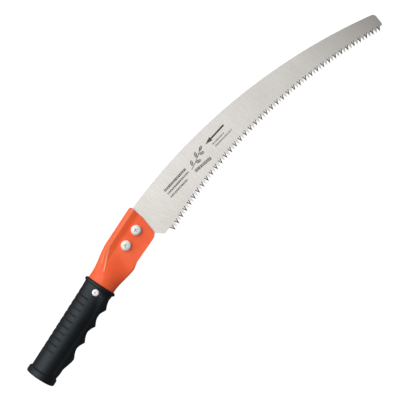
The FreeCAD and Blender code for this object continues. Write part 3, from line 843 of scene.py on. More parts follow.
def print_bars(face, speck):
    for x, y, length, height, turn, weight in PRINT_BARS:
        along, wide = face.line((x, y), turn)
        strokes = (along / HATCH).fraction().ease(0.12, 0.26) * (0.6 + 0.4 * speck.ease(0.42, 0.56))
        face.add(bar(along, wide, length, height) * strokes, weight)


def print_arrow(face):
    way = ARROW_TIP - ARROW_TAIL
    length = float(np.linalg.norm(way))
    along, wide = face.line((ARROW_TAIL + ARROW_TIP) / 2, math.degrees(math.atan2(way[1], way[0])))
    from_tip = length / 2 - along
    shaft = bar(along + ARROW_HEAD / 2, wide, length - ARROW_HEAD, ARROW_SHAFT)
    head = (from_tip * (ARROW_HALF / ARROW_HEAD) - abs(wide)).ease(-0.08, 0.08)
    head = head * from_tip.ease(ARROW_HEAD + 0.1, ARROW_HEAD - 0.1) * from_tip.above(0.0)
    face.add(shaft.highest(head), 0.95)


def print_twig(face):
    along, wide = face.line(TWIG, STEM_TURN)
    face.add(bar(along, wide - STEM_BEND * along * along, STEM_LENGTH, STEM_WIDTH), 0.72)
    a = math.radians(STEM_TURN)
    stem_way, out_way = np.array([math.cos(a), math.sin(a)]), np.array([-math.sin(a), math.cos(a)])
    for place, side in LEAVES:
        out = side * 3.0 + STEM_BEND * place ** 2
        middle = TWIG + stem_way * (place + 3.4) + out_way * out
        along, wide = face.line(middle, STEM_TURN + LEAF_TURN * side)
        leaf = (1.0 - (along * along) * (4 / LEAF_LENGTH ** 2)) * LEAF_HALF - abs(wide)
        face.add(leaf.ease(-0.1, 0.15) * abs(wide).above(LEAF_RIB), 0.80)


print("printing ready")


# %% Blade steel
def make_blade_steel():
    finish = Finish("ground_blade_steel")
    x, y, z = finish.parts_of(finish.place)
    x, y = x / MM, y / MM
    across, up = x - float(TIP_CENTRE[0]), y - float(TIP_CENTRE[1])
    reach = (across * across + up * up).root()
    around = across.maths("ARCTAN2", across, up) * TIP_RADIUS
    streak_place = finish.vector(around / 0.35, reach / 14, z / MM * 0.3)
    streaks = finish.noise(1000, detail=5.0, place=streak_place)
    cloud = finish.noise(38, detail=3.0)
    speck = finish.noise(1.3, detail=3.0)

    face = Print(x, y)
    print_bars(face, speck)
    print_arrow(face)
    print_twig(face)
    ink = face.ink * z.above(0.0)

    normal = finish.add("ShaderNodeNewGeometry", output="Normal")
    upright = abs(finish.parts_of(normal)[2])
    flank = upright.ease(0.93, 0.80) * reach.below(TIP_RADIUS + ROOT + 0.2)
    # painted reflection: this colour ramp darkens the steel towards the nose
    stops = ((0.0, colour(216, 214, 207)), (0.35, colour(222, 219, 216)),
             (0.75, colour(214, 212, 207)), (0.92, colour(186, 183, 178)),
             (1.0, colour(162, 159, 154)))
    steel = finish.add("ShaderNodeValToRGB", {"stops": stops}, {0: (x - 200.0) / 350.0})
    shade = (0.5 * streaks + 0.3 * cloud + 0.2 * speck).ease(0.30, 0.70)
    steel = finish.blend(shade * 0.30, steel, colour(150, 147, 143))
    steel = finish.blend(flank * 0.85, steel, colour(134, 130, 125))
    finish.feed("Base Color", finish.blend(ink, steel, colour(44, 40, 38)))
    finish.feed("Roughness", 0.38 + 0.16 * streaks + 0.25 * ink)
    finish.feed("Metallic", 0.8 - 0.75 * ink)
    finish.bump(0.7 * streaks + 0.3 * speck, 0.02, 0.35)
    return finish.material


blade_steel = make_blade_steel()
set_teeth(blade, blade_steel)
point_outwards(blade)
place_on_body(blade, "blade_steel", "blade")

# %% [markdown]
# ## The handle tube
#
# The handle starts as a round tube. It is squeezed a little oval under the grip, then a press
# closes it down to a flat clamp. The spine side keeps a rolled loop, a little wider than it is
# high, and the toothed side is slit so that the blade can pass through. One rule gives the tube's
# section anywhere along it: a blend of a circle and a flattened outline of the same girth. A grid
# of points on that rule makes the outer skin, and the same grid moved inwards makes the inner one.

# %% The tube's sizes, in millimetres
TUBE_R = 14.3
TUBE_WALL = 1.2
ROUND_LENGTH = 88.0
OVAL_RUN, OVAL_SHARE = 40.0, 0.35
PRESS_X, PRESS_RUN, PRESS_LEAD = 132.0, 36.0, 5.0
CLAMP_X = PRESS_X + PRESS_RUN
CLAMP_HALF = float(SCREW_SEAT)
CLAMP_END, CLAMP_TOP = (float(v) for v in node_box("handle_tube")[1][:2])
FOLD_RADIUS, FOLD_WIDE, FOLD_RAMP = 3.9, 4.9, 9.0
FLAT_LOW = -22.0            # lowest y of the flattened section before it is slit
PANEL_LOW_Y = FLAT_LOW + CLAMP_HALF
FOLD_STEPS = 60
print("clamp from x", CLAMP_X, "to", round(CLAMP_END, 2), "and", round(2 * CLAMP_HALF, 2), "mm thick")


# %% The flattened section
def smooth(t):
    t = np.clip(t, 0.0, 1.0)
    return t * t * (3 - 2 * t)


def flat_outline():
    """Rows of y, z and outward normal down half the flattened section, spine side first."""
    fold_y = CLAMP_TOP - FOLD_WIDE
    ramp_y = fold_y - FOLD_RAMP
    rise = FOLD_RADIUS - CLAMP_HALF
    rows = []
    for i in range(FOLD_STEPS):
        a = math.pi / 2 * i / FOLD_STEPS
        ny, nz = math.cos(a) / FOLD_WIDE, math.sin(a) / FOLD_RADIUS
        size = math.hypot(ny, nz)
        rows.append((fold_y + FOLD_WIDE * math.cos(a), FOLD_RADIUS * math.sin(a),
                     ny / size, nz / size))
    for i in range(FOLD_STEPS):
        t = 1 - i / FOLD_STEPS
        slope = rise * 6 * t * (1 - t) / FOLD_RAMP
        size = math.hypot(slope, 1)
        rows.append((ramp_y + FOLD_RAMP * t, CLAMP_HALF + rise * float(smooth(t)),
                     -slope / size, 1 / size))
    rows.append((ramp_y, CLAMP_HALF, 0.0, 1.0))
    for i in range(FOLD_STEPS + 1):
        a = math.pi / 2 * (1 + i / FOLD_STEPS)
        rows.append((PANEL_LOW_Y + CLAMP_HALF * math.cos(a), CLAMP_HALF * math.sin(a),
                     math.cos(a), math.sin(a)))
    return np.array(rows)


FLAT = flat_outline()
FLAT_RUN = np.concatenate([[0], np.cumsum(np.hypot(*np.diff(FLAT[:, :2], axis=0).T))])
GIRTH = FLAT_RUN[-1]
PANEL_U = FLAT_RUN[-FOLD_STEPS - 1] / GIRTH
print("half girth of the flattened section:", round(float(GIRTH), 2), "mm")


# %% The section anywhere along the tube
def flat_section(u, inset):
    """The flattened section; past the panel's lower edge it runs straight on."""
    y, z, ny, nz = (np.interp(u * GIRTH, FLAT_RUN, FLAT[:, k]) for k in range(4))
    return y - inset * ny, z - inset * nz


def tube_section(x, u, inset):
    """A point of the tube's section at x; u goes from 0 at the spine side to 1 opposite."""
    oval = smooth((x - ROUND_LENGTH) / OVAL_RUN)
    lead = x + PRESS_LEAD * u * oval
    wide_share = (OVAL_SHARE * smooth((lead - ROUND_LENGTH) / OVAL_RUN)
                  + (1 - OVAL_SHARE) * smooth((lead - PRESS_X) / PRESS_RUN))
    r = TUBE_R - inset
    flat_y, flat_z = flat_section(u, inset)
    y = (1 - wide_share) * r * np.cos(np.pi * u) + wide_share * flat_y
    z = (1 - wide_share) * r * np.sin(np.pi * u) + wide_share * flat_z
    return y, z


spine_y = float(tube_section(CLAMP_X, 0.0, 0.0)[0])
print("the tube's spine is at y", round(spine_y, 2), "where the clamp starts")

# %% [markdown]
# ### Cutting the clamp's end
#
# The clamp's front edge leans forward, bends upright near the fold and has one large rounded
# corner. Cutting it with a Boolean would leave a ragged grid. Instead each line of the grid that
# runs along the tube simply stops where it meets that outline.

# %% The clamp's front edge
END_BEND_Y = 3.4            # the edge bends upright at this height
SLIT_FLARE = 1.0            # the panel's lower edge drops this much towards the front
FRONT_LOW_Y = PANEL_LOW_Y - SLIT_FLARE
BEND_X = CLAMP_END - (CLAMP_TOP - END_BEND_Y) * math.tan(math.radians(6.8))
LOW_X = BEND_X - (END_BEND_Y - FRONT_LOW_Y) * math.tan(math.radians(17.5))
LOW_CORNER, BEND_CORNER, TOP_CORNER = 8.5, 60.0, 2.5


def clamp_front():
    """Points up the clamp's front edge, from where its lower corner starts to turn."""
    back, low = np.array([CLAMP_X, PANEL_LOW_Y]), np.array([LOW_X, FRONT_LOW_Y])
    bend, top = np.array([BEND_X, END_BEND_Y]), np.array([CLAMP_END, CLAMP_TOP])
    path = rounded(back, low, bend, LOW_CORNER, 24)
    path += rounded(low, bend, top, BEND_CORNER, 10)
    path += rounded(bend, top, top - (3, 0), TOP_CORNER, 10)
    return np.array(path)


front_points = clamp_front()
CORNER_X = front_points[0][0]
FRONT = front_points[np.argsort(front_points[:, 1], kind="stable")]


def front_x(y):
    return np.interp(y, FRONT[:, 1], FRONT[:, 0])


print("front edge from x", round(float(CORNER_X), 2), "to", round(float(front_x(CLAMP_TOP)), 2))

# %% [markdown]
# ### The skin of the tube
#
# The press leaves a flat facet with a crease at its edge, which runs up into the fold. It is cut
# into the height of the outer skin. Just behind the slit, the closed loop on the toothed side is
# tucked in, so that the slit starts softly instead of at a step.

# %% The crease that the press leaves
FACET_LIFT, FACET_BEND = 7.1, 1.15              # the facet's height at its start, and its curve
LOW_CREASE_Y, LOW_CREASE_CLIMB = 7.0, 14.0      # the crease on the toothed side, further out
FACET_SLOPE, FACET_BLEND = 1.2, 0.25
RIDGE, RIDGE_WIDTH = 0.55, 1.1                  # a small bead along the crease
CREASE_FADE = 155.0                             # x where the crease starts to fade into the fold


def crease(x, y, z):
    """Lowers a height to the pressed facet, whose edge is a crease that spreads forward."""
    along = np.clip((x - CREASE_START) / (CREASE_END - CREASE_START), 0, 1)
    facet = CLAMP_HALF + FACET_LIFT * (1 - along) ** FACET_BEND
    edge = np.where(y > 0, CREASE_Y + CREASE_CLIMB * along, LOW_CREASE_Y + LOW_CREASE_CLIMB * along)
    outside = np.maximum(np.abs(y) - edge, 0)
    limit = facet + FACET_SLOPE * outside + 60 * np.clip((CREASE_START - x) / 10, 0, 1)
    gap = np.clip(0.5 + 0.5 * (limit - z) / FACET_BLEND, 0, 1)
    lowered = np.minimum(z, limit * (1 - gap) + z * gap - FACET_BLEND * gap * (1 - gap))
    ridge = np.exp(-((y - edge) / RIDGE_WIDTH) ** 2)
    ridge = ridge * smooth((x - CREASE_START - 1) / 6) * smooth((CREASE_END - x) / 5)
    lowered = lowered + np.where(y > 0, RIDGE * ridge, 0)
    return lowered + (z - lowered) * smooth((x - CREASE_FADE) / (CLAMP_X - CREASE_FADE))


facet_height = float(crease(150.0, 0.0, 20.0))
print("the facet is", round(facet_height, 2), "mm above the blade's middle at x 150")


# %% Lines of points along the skin
PANEL_COLUMNS, FOLD_COLUMNS = 56, 12
ROUND_ROWS, BACK_ROWS, CLAMP_ROWS = 23, 110, 34
TUCK, TUCK_RUN = 0.75, 9.0


def panel_share(count):
    """Shares of the way down the panel, closer together at both ends."""
    t = np.linspace(0, 1, count + 1)
    return 0.35 * t + 0.65 * (1 - np.cos(np.pi * t)) / 2


def closed_rows(inset):
    """Rows of points down the upper half of the closed tube, from its mouth to the slit."""
    fold = PANEL_U + (1 - PANEL_U) * np.linspace(0, 1, FOLD_COLUMNS + 1)[1:]
    u = np.concatenate([PANEL_U * panel_share(PANEL_COLUMNS), fold])
    xs = np.concatenate([np.linspace(0, ROUND_LENGTH, ROUND_ROWS + 1)[:-1],
                         np.linspace(ROUND_LENGTH, CLAMP_X, BACK_ROWS - ROUND_ROWS)])
    rows = []
    for x in xs:
        y, z = tube_section(x, u, inset)
        z = np.where(np.isclose(u, 1) | np.isclose(u, 0), 0, z)
        if inset == 0:
            z = crease(np.full_like(y, x), y, z)
        tuck = 1 - TUCK * smooth((x - CLAMP_X + TUCK_RUN) / TUCK_RUN)
        edge_y = y[PANEL_COLUMNS]
        y[PANEL_COLUMNS:] = edge_y + (y[PANEL_COLUMNS:] - edge_y) * tuck
        rows.append(np.stack([np.full_like(y, x), y, z], axis=1))
    return rows


def clamp_rows(inset):
    """Rows of points down the clamp's upper panel, from the slit's start to its front edge."""
    shares = panel_share(PANEL_COLUMNS)
    y, z = flat_section(shares * PANEL_U, inset)
    z[0] = 0
    flare = (CORNER_X - CLAMP_X) / (LOW_X - CLAMP_X) * SLIT_FLARE * np.clip((shares - 0.8) / 0.2, 0, 1)
    rows = []
    for v in np.linspace(0, 1, CLAMP_ROWS + 1)[1:]:
        low_y = y - flare * v
        x = CLAMP_X + v * (front_x(low_y) - CLAMP_X)
        x[-1] = CLAMP_X + v * (CORNER_X - CLAMP_X)
        rows.append(np.stack([x, low_y, z], axis=1))
    return rows


print("each half skin has", BACK_ROWS + CLAMP_ROWS, "rows of", PANEL_COLUMNS + FOLD_COLUMNS + 1)

# %% [markdown]
# ### Closing the tube's wall
#
# The four half skins are joined into one closed wall: across the mouth, the front edge, the slit
# and the place where the closed loop ends. Paint never keeps a sharp edge, so a Bevel modifier
# rounds the rims before the holes are drilled.

# %% The tube's wall
RIM = 0.22                  # radius of the rounded paint along the cut edges


def weld(obj):
    """Joins points that lie on each other, and drops faces with no area."""
    shape = bmesh.new()
    shape.from_mesh(obj.data)
    bmesh.ops.remove_doubles(shape, verts=shape.verts, dist=0.002 * MM)
    bmesh.ops.dissolve_degenerate(shape, edges=shape.edges, dist=0.001 * MM)
    shape.to_mesh(obj.data)
    shape.free()


def make_tube():
    skins = {"outer": closed_rows(0.0) + clamp_rows(0.0),
             "inner": closed_rows(TUBE_WALL) + clamp_rows(TUBE_WALL)}
    points, faces, number = [], [], {}
    for half in (1, -1):
        for skin, rows in skins.items():
            for i, row in enumerate(rows):
                for j, (x, y, z) in enumerate(row):
                    number[half, skin, i, j] = len(points)
                    points.append((x, y, half * z))
    slit_row, last_row = BACK_ROWS - 1, BACK_ROWS + CLAMP_ROWS - 1
    whole = PANEL_COLUMNS + FOLD_COLUMNS

    def face(half, *corners):
        faces.append([number[(half, *corner)] for corner in corners])

    def wall(half, start, end):
        """A face across the wall's thickness, between two neighbours in the grid."""
        face(half, ("outer", *start), ("outer", *end), ("inner", *end), ("inner", *start))

    for half in (1, -1):
        for skin in skins:
            for i in range(last_row):
                for j in range(whole if i < slit_row else PANEL_COLUMNS):
                    face(half, (skin, i, j), (skin, i + 1, j), (skin, i + 1, j + 1), (skin, i, j + 1))
        for j in range(whole):
            wall(half, (0, j), (0, j + 1))
        for j in range(PANEL_COLUMNS):
            wall(half, (last_row, j), (last_row, j + 1))
        for j in range(PANEL_COLUMNS, whole):
            wall(half, (slit_row, j), (slit_row, j + 1))
        for i in range(slit_row, last_row):
            wall(half, (i, PANEL_COLUMNS), (i + 1, PANEL_COLUMNS))
    tube = new_piece("handle_tube_painted", points, faces)
    weld(tube)
    point_outwards(tube)
    rim = tube.modifiers.new("rounded rim", "BEVEL")
    rim.width, rim.segments, rim.use_clamp_overlap = RIM * MM, 2, False
    rim.limit_method, rim.angle_limit = "ANGLE", math.radians(50)
    bake_modifiers(tube)
    point_outwards(tube)
    return tube


tube = make_tube()
print("tube's wall:", len(tube.data.polygons), "faces")


# %% Drilling and painting the tube
def drill(obj, places):
    """Round holes through a piece, from (x, y, radius, low z, high z) in millimetres."""
    drills = []
    for x, y, radius, low, high in places:
        bit = turned("bit", [(0, low), (radius, low), (radius, high), (0, high)], 48, (x, y), None)
        cut = obj.modifiers.new("drill", "BOOLEAN")
        cut.operation, cut.solver, cut.object = "DIFFERENCE", "EXACT", bit
        drills.append(bit)
    bake_modifiers(obj)
    for bit in drills:
        remove_piece(bit)


screw_holes = [(screw[0], screw[1], SCREW_HOLE_R, -8, 8) for screw in SCREWS.values()]
drill(tube, screw_holes + [(RIVET_X, 0, RIVET_HOLE_R, 2, 16)])
smooth_faces(tube, 40)
tube.data.materials.append(orange_paint)
place_on_body(tube, "orange_paint", "handle_tube")

# %% [markdown]
# ## The rubber grip
#
# The grip is a moulded sleeve. It has a thick ring at the butt, a flange at the front, a keel with
# scoops for three fingers and a half scoop in front, and shallow bands across the spine side. The
# plain sleeve is a closed grid, from the tube's surface out and round. The scoops and bands follow
# rules along the sleeve, so a Geometry Nodes tree moves the grid's points by those rules.

# %% The grip's sizes and profile, in millimetres
RUBBER = 1.8
LIP, LIP_R, LIP_CHAMFER = 2.0, 13.45, 0.3
GRIP_FIT = 0.02             # between the rubber and the tube
SLEEVE_R = TUBE_R + RUBBER
SLEEVE_GROWTH = 0.0125
RING_PROUD, RING_LENGTH, RING_ROUND = 1.9, 8.0, 1.6
RING_FALL, RING_FADE = 1.2, 2.6     # it starts to fall this far before its end, over this run
COLLAR_PROUD, COLLAR_LENGTH, COLLAR_ROOT = 2.1, 4.5, 0.4
GRIP_COLUMNS = 144
GRIP_STEP, RING_STEP = 0.75, 0.8


def grip_profile():
    """(x, how far it stands out of the sleeve) along the grip's outside, from butt to front."""
    rows = []
    for i in range(7):
        a = math.pi / 2 * i / 6
        rows.append((GRIP_BACK + RING_ROUND * (1 - math.cos(a)),
                     RING_PROUD - RING_ROUND * (1 - math.sin(a))))
    ring_end = GRIP_BACK + RING_LENGTH
    fall = ring_end - RING_FALL
    for x in np.arange(GRIP_BACK + RING_ROUND + RING_STEP, fall - 0.1, RING_STEP):
        rows.append((x, RING_PROUD))
    for i in range(9):
        t = i / 8
        rows.append((fall + RING_FADE * t, RING_PROUD * (1 - float(smooth(t)))))
    collar = GRIP_FRONT - COLLAR_LENGTH
    for x in np.arange(ring_end + 2.0, collar - 1.0, GRIP_STEP):
        rows.append((x, 0.0))
    for i in range(17):
        t = i / 16
        lift = (1 - abs(2 * t - 1) ** 4) * COLLAR_PROUD - COLLAR_ROOT
        rows.append((collar + COLLAR_LENGTH * t, max(lift, 0) if t < 0.5 else lift))
    return rows


print("grip profile:", len(grip_profile()), "places along its outside")


# %% The plain sleeve
def make_plain_grip():
    u = np.arange(GRIP_COLUMNS) / GRIP_COLUMNS * 2
    half_u = np.where(u > 1, 2 - u, u)
    side = np.where(u > 1, -1, 1)
    rows = []
    for x, proud in grip_profile():
        tube_y = tube_section(x, 0.0, 0.0)[0]
        tube_z = tube_section(x, 0.5, 0.0)[1]
        half_y = max(SLEEVE_R + SLEEVE_GROWTH * max(x - RING_LENGTH, 0), tube_y + RUBBER * 0.75)
        half_y, half_z = half_y + proud, tube_z + RUBBER + proud
        rows.append(np.stack([np.full_like(u, x), half_y * np.cos(np.pi * u),
                              half_z * np.sin(np.pi * u)], axis=1))
    outer_rows = len(rows)
    for x in np.linspace(GRIP_FRONT, 0.0, 60):
        y, z = tube_section(x, half_u, -GRIP_FIT)
        rows.append(np.stack([np.full_like(u, x), y, z * side], axis=1))
    for x, radius in ((0.0, LIP_R), (LIP_CHAMFER - LIP, LIP_R), (-LIP, LIP_R + LIP_CHAMFER)):
        y, z = radius * np.cos(np.pi * half_u), radius * np.sin(np.pi * half_u)
        rows.append(np.stack([np.full_like(u, x), y, z * side], axis=1))
    faces = ring_faces(len(rows), GRIP_COLUMNS, close_rows=True)
    grip = new_piece("rubber_grip_moulded", np.concatenate(rows), faces)
    share = np.zeros(len(rows) * GRIP_COLUMNS, np.float32)
    share[:outer_rows * GRIP_COLUMNS] = 1
    grip.data.attributes.new("outside", "FLOAT", "POINT").data.foreach_set("value", share)
    return grip


grip = make_plain_grip()
print("plain grip:", len(grip.data.vertices), "points")


# %% [markdown]
# ### Scoops and bands
#
# The fingers' side swells into a keel, and each scoop in it is one dip of a parabola that repeats
# at the crests' pitch. The keel dies away behind the ring and the flange, as a mould would leave
# it. The bands are narrow grooves that run round the spine side only.

# %% The keel and its scoops
def keel_drop(size, x, y, z):
    """How far the rubber is carried down to the keel's outline, at a point of the sleeve."""
    crest, scoop, last_crest = size("Crest depth"), size("Scoop depth"), size("Front crest")
    swing = ((last_crest - x) / size("Crest pitch")).fraction() * 2 - 1
    scoops = scoop + (crest - scoop) * swing * swing
    rear_crest = last_crest - size("Crest pitch") * size("Scoops")
    rear = x.ease(size("Rear hollow"), rear_crest, size("Rear hollow depth"), crest)
    falling = (1 - (x - last_crest) / (size("Front scoop") - last_crest)).highest(0.0)
    front_depth = size("Front scoop depth")
    ahead = front_depth + (crest - front_depth) * falling * falling
    between = x.above(rear_crest) * x.below(last_crest)
    profile = scoops * between + rear * x.below(rear_crest) + ahead * x.above(last_crest)

    share = z / size("Keel half width")
    bulge = (1 - share * share).highest(0.0).root()
    keel = size("Keel centre") + (crest - size("Keel centre")) * bulge
    keel = keel.soft_lowest(profile, size("Blend"))
    sleeve = 0.0 - y
    on_keel = sleeve.above(0.0) * abs(z).below(size("Keel half width"))
    on_keel = on_keel * x.ease(size("Keel start"), size("Keel full from"))
    on_keel = on_keel * x.ease(size("Keel end"), size("Keel full to"))
    return (sleeve.highest(keel) - sleeve) * on_keel


def band_cut(size, x, y, radius):
    """How deep the bands are cut, as a share of the distance from the axis."""
    band = ((x - size("First band")) / size("Band pitch")).fraction()
    groove = abs(band * 2 - 1).ease(0.70, 1.0)
    spine_half = (y / radius).ease(-0.12, 0.30)
    run = x.ease(size("First band") - BAND_FADE * MM, size("First band") + 1 * MM)
    run = run * x.ease(size("Last band") + 2 * MM, size("Last band") - 2 * MM)
    return groove * spine_half * run * size("Band depth") / radius


print("scoop and band rules ready")


# %% Moulding the grip
def mould_grip(obj, finish):
    lengths = {
        "Front crest": GRIP_FRONT - 21.3, "Crest pitch": 22.1, "Crest depth": 21.0,
        "Scoop depth": 16.8, "Front scoop": GRIP_FRONT - 9.5, "Front scoop depth": 17.4,
        "Rear hollow": 18.0, "Rear hollow depth": 16.9, "Keel centre": 9.0,
        "Keel half width": 12.5, "Keel start": 6.2, "Keel full from": 14.0,
        "Keel end": GRIP_FRONT - 3.6, "Keel full to": GRIP_FRONT - 12.0, "Blend": 0.5,
        "First band": FIRST_BAND, "Last band": LAST_BAND, "Band pitch": BAND_PITCH,
        "Band depth": 0.60,
    }
    sizes = {name: length * MM for name, length in lengths.items()}
    sizes |= {"Scoops": 3.0, "Finish": finish}
    nodes, given = begin_rule("scoops and bands", sizes)
    x, y, z = nodes.parts_of(nodes.add("GeometryNodeInputPosition"))
    outside = nodes.add("GeometryNodeInputNamedAttribute", {"data_type": "FLOAT"},
                        {"Name": "outside"})
    drop = keel_drop(given.out, x, y, z) * outside
    cut = band_cut(given.out, x, y, (y * y + z * z).root()) * outside
    offset = nodes.vector(0.0, 0.0 - drop - y * cut, 0.0 - z * cut)
    shaped = nodes.add("GeometryNodeSetPosition", values={"Geometry": given, "Offset": offset})
    end_rule(nodes, shaped, given.out("Finish"))
    run_rule(obj, nodes, sizes)


POCKET_R, POCKET_FLOOR = 4.25, RIVET_TOP - RIVET_HEAD_HEIGHT
mould_grip(grip, black_rubber)
weld(grip)
point_outwards(grip)
drill(grip, [(RIVET_X, 0, POCKET_R, POCKET_FLOOR, 22), (RIVET_X, 0, RIVET_HOLE_R, 2, 22)])
smooth_faces(grip, 48)
place_on_body(grip, "black_rubber", "rubber_grip")

# %% [markdown]
# ## The blade screws
#
# Two pan head screws with a cross recess hold the blade. The head is a turned shape with the
# recess cut in. The thread is a helix that climbs one pitch for each turn, so its radius is a rule
# of height and angle, and a Geometry Nodes tree sets it on a plain rod. One screw is made, and two
# copies of it are turned by different amounts, as a screwdriver leaves them.

# %% The screw's head
SCREW_R, THREAD_PITCH, THREAD_DEPTH, SCREW_CHAMFER = 3.0, 1.0, 0.55, 0.8
HEAD_R, HEAD_FLAT_R, HEAD_STEPS = 6.0, 1.8, 15
HEAD_SEAT, HEAD_TOP = float(SCREW_SEAT), float(SCREW_TOP)
HEAD_RIM = HEAD_SEAT + (HEAD_TOP - HEAD_SEAT) * 0.42    # where its side starts to turn over
RECESS_R, RECESS_SLOT, RECESS_DEPTH = 2.9, 1.2, 2.4


def make_recess():
    """The cross that is cut out of the head: four arms that narrow towards the bottom."""
    half = RECESS_SLOT / 2
    ring = []
    for k in range(4):
        c, s = math.cos(math.pi / 2 * k), math.sin(math.pi / 2 * k)
        ring += [(c * x - s * y, s * x + c * y) for x, y in ((half, half), (half, RECESS_R),
                                                            (-half, RECESS_R))]
    points = []
    for height, share in ((HEAD_TOP + 0.5, 1.08), (HEAD_TOP - RECESS_DEPTH, 0.42)):
        for x, y in ring:
            reach = share if math.hypot(x, y) > RECESS_SLOT else 0.4 + 0.6 * share
            points.append((x * reach, y * reach, height))
    count = len(ring)
    faces = [(i, count + i, count + (i + 1) % count, (i + 1) % count) for i in range(count)]
    faces += [tuple(range(count)), tuple(reversed(range(count, 2 * count)))]
    cross = new_piece("recess", points, faces)
    point_outwards(cross)
    return cross


def make_head():
    """A pan head from its seat up, with its recess."""
    profile = [(0, HEAD_SEAT), (SCREW_R * 0.9, HEAD_SEAT), (HEAD_R - 0.3, HEAD_SEAT),
               (HEAD_R, HEAD_SEAT + 0.3), (HEAD_R, HEAD_RIM)]
    for i in range(1, HEAD_STEPS):
        a = math.pi / 2 * i / HEAD_STEPS
        profile.append((HEAD_FLAT_R + (HEAD_R - HEAD_FLAT_R) * math.cos(a),
                        HEAD_RIM + (HEAD_TOP - HEAD_RIM) * math.sin(a)))
    profile.append((0, HEAD_TOP))
    head = turned("screw_head", profile, 72, smooth=None)
    cross = make_recess()
    point_outwards(head)
    cut = head.modifiers.new("recess", "BOOLEAN")
    cut.operation, cut.solver, cut.object = "DIFFERENCE", "EXACT", cross
    bake_modifiers(head)
    remove_piece(cross)
    return head


screw = make_head()
print("screw head:", len(screw.data.polygons), "faces,", round(HEAD_TOP - HEAD_SEAT, 2), "mm high")


# %% The rule for the thread
def add_thread(head, finish):
    low, high = -float(SCREW_TIP), HEAD_SEAT + 0.2
    sizes = {"Radius": SCREW_R * MM, "Length": (high - low) * MM, "Lowest": low * MM,
             "Pitch": THREAD_PITCH * MM, "Thread depth": THREAD_DEPTH * MM,
             "Chamfer": SCREW_CHAMFER * MM, "Finish": finish}
    nodes, given = begin_rule("screw thread", sizes)
    size = given.out
    rod = nodes.add("GeometryNodeMeshCylinder", {"fill_type": "NGON"},
                    {"Vertices": 40, "Side Segments": 110, "Radius": size("Radius"),
                     "Depth": size("Length")}, "Mesh")
    x, y, z = nodes.parts_of(nodes.add("GeometryNodeInputPosition"))
    height = z + size("Length") / 2 + size("Lowest")
    angle = x.maths("ARCTAN2", y, x) / (2 * math.pi)
    climb = (height / size("Pitch") - angle).fraction()
    radius = size("Radius") - size("Thread depth") * abs(climb * 2 - 1).ease(0.1, 0.95)
    cone = size("Radius") - size("Chamfer") + (height - size("Lowest"))
    share = radius.lowest(cone) / size("Radius")
    spot = nodes.vector(x * share, y * share, height)
    thread = nodes.add("GeometryNodeSetPosition", values={"Geometry": rod, "Position": spot})
    joined = nodes.add("GeometryNodeJoinGeometry")
    for part in (given, thread):
        nodes.tree.links.new(part.socket, joined.socket.node.inputs[0])
    end_rule(nodes, joined, size("Finish"))
    run_rule(head, nodes, sizes)


add_thread(screw, plated_steel)
smooth_faces(screw, 42)
print("threaded screw:", len(screw.data.polygons), "faces")


# %% Two screws from one
def copy_to(obj, name, place, turn):
    """A copy of a piece with its own mesh, turned about its axis and moved to a screw's place."""
    x, y = SCREWS[place][:2] * MM
    mesh = obj.data.copy()
    mesh.transform(Matrix.Translation((x, y, 0)) @ Matrix.Rotation(math.radians(turn), 4, "Z"))
    copy = bpy.data.objects.new(name + place, mesh)
    bpy.context.scene.collection.objects.link(copy)
    return copy


for place, turn in (("rear", 24.0), ("front", 71.0)):
    place_on_body(copy_to(screw, "pan_screw_", place, turn), "plated_steel", "blade_screw_" + place)
remove_piece(screw)

# %% [markdown]
# ## Nuts and spring washers
#
# On the back, each screw has a hex nut on a split spring washer. A nut is a hexagon cut by a cone
# at both ends, which leaves the curved corners that real nuts have. So its outline is worked out
# angle by angle, as the smaller of the hexagon and the cone. The washer is a ring with a slanted
# gap, so it is swept round with its two ends leaning.

# %% The nut
NUT_HALF = 5.0              # half the width across its flats
NUT_STEPS = 96
NUT_BORE, NUT_MOUTH, NUT_BEVEL = 2.9, 3.3, 0.4


def make_nut():
    """A hex nut: flats cut by a cone at both ends, with a chamfered bore."""
    top, foot = -float(WASHER_FOOT), -float(NUT_FOOT)
    angles = [2 * math.pi * j / NUT_STEPS for j in range(NUT_STEPS)]
    depths = (0.0, 0.15, 0.3, 0.5, 0.8)
    levels = [(foot + d, d) for d in depths] + [(top - d, d) for d in reversed(depths)]
    points = []
    for z, depth in levels:
        cone = NUT_HALF * 0.95 + depth * 1.75
        for a in angles:
            r = min(NUT_HALF / math.cos(a % (math.pi / 3) - math.pi / 6), cone)
            points.append((r * math.cos(a), r * math.sin(a), z))
    bore = ((top, NUT_MOUTH), (top - NUT_BEVEL, NUT_BORE), (foot + NUT_BEVEL, NUT_BORE),
            (foot, NUT_MOUTH))
    for z, r in bore:
        points += [(*p, z) for p in circle(r, NUT_STEPS)]
    faces = ring_faces(len(levels) + len(bore), NUT_STEPS, close_rows=True)
    nut = new_piece("nut", points, faces)
    point_outwards(nut)
    smooth_faces(nut, 30)
    nut.data.materials.append(plated_steel)
    return nut


nut = make_nut()
print("nut:", len(nut.data.polygons), "faces")


# %% The spring washer
WASHER_R, WASHER_HOLE_R, WASHER_BEVEL = 5.9, 3.12, 0.2
WASHER_STEPS, WASHER_GAP, WASHER_CUT = 84, math.radians(7), math.radians(30)


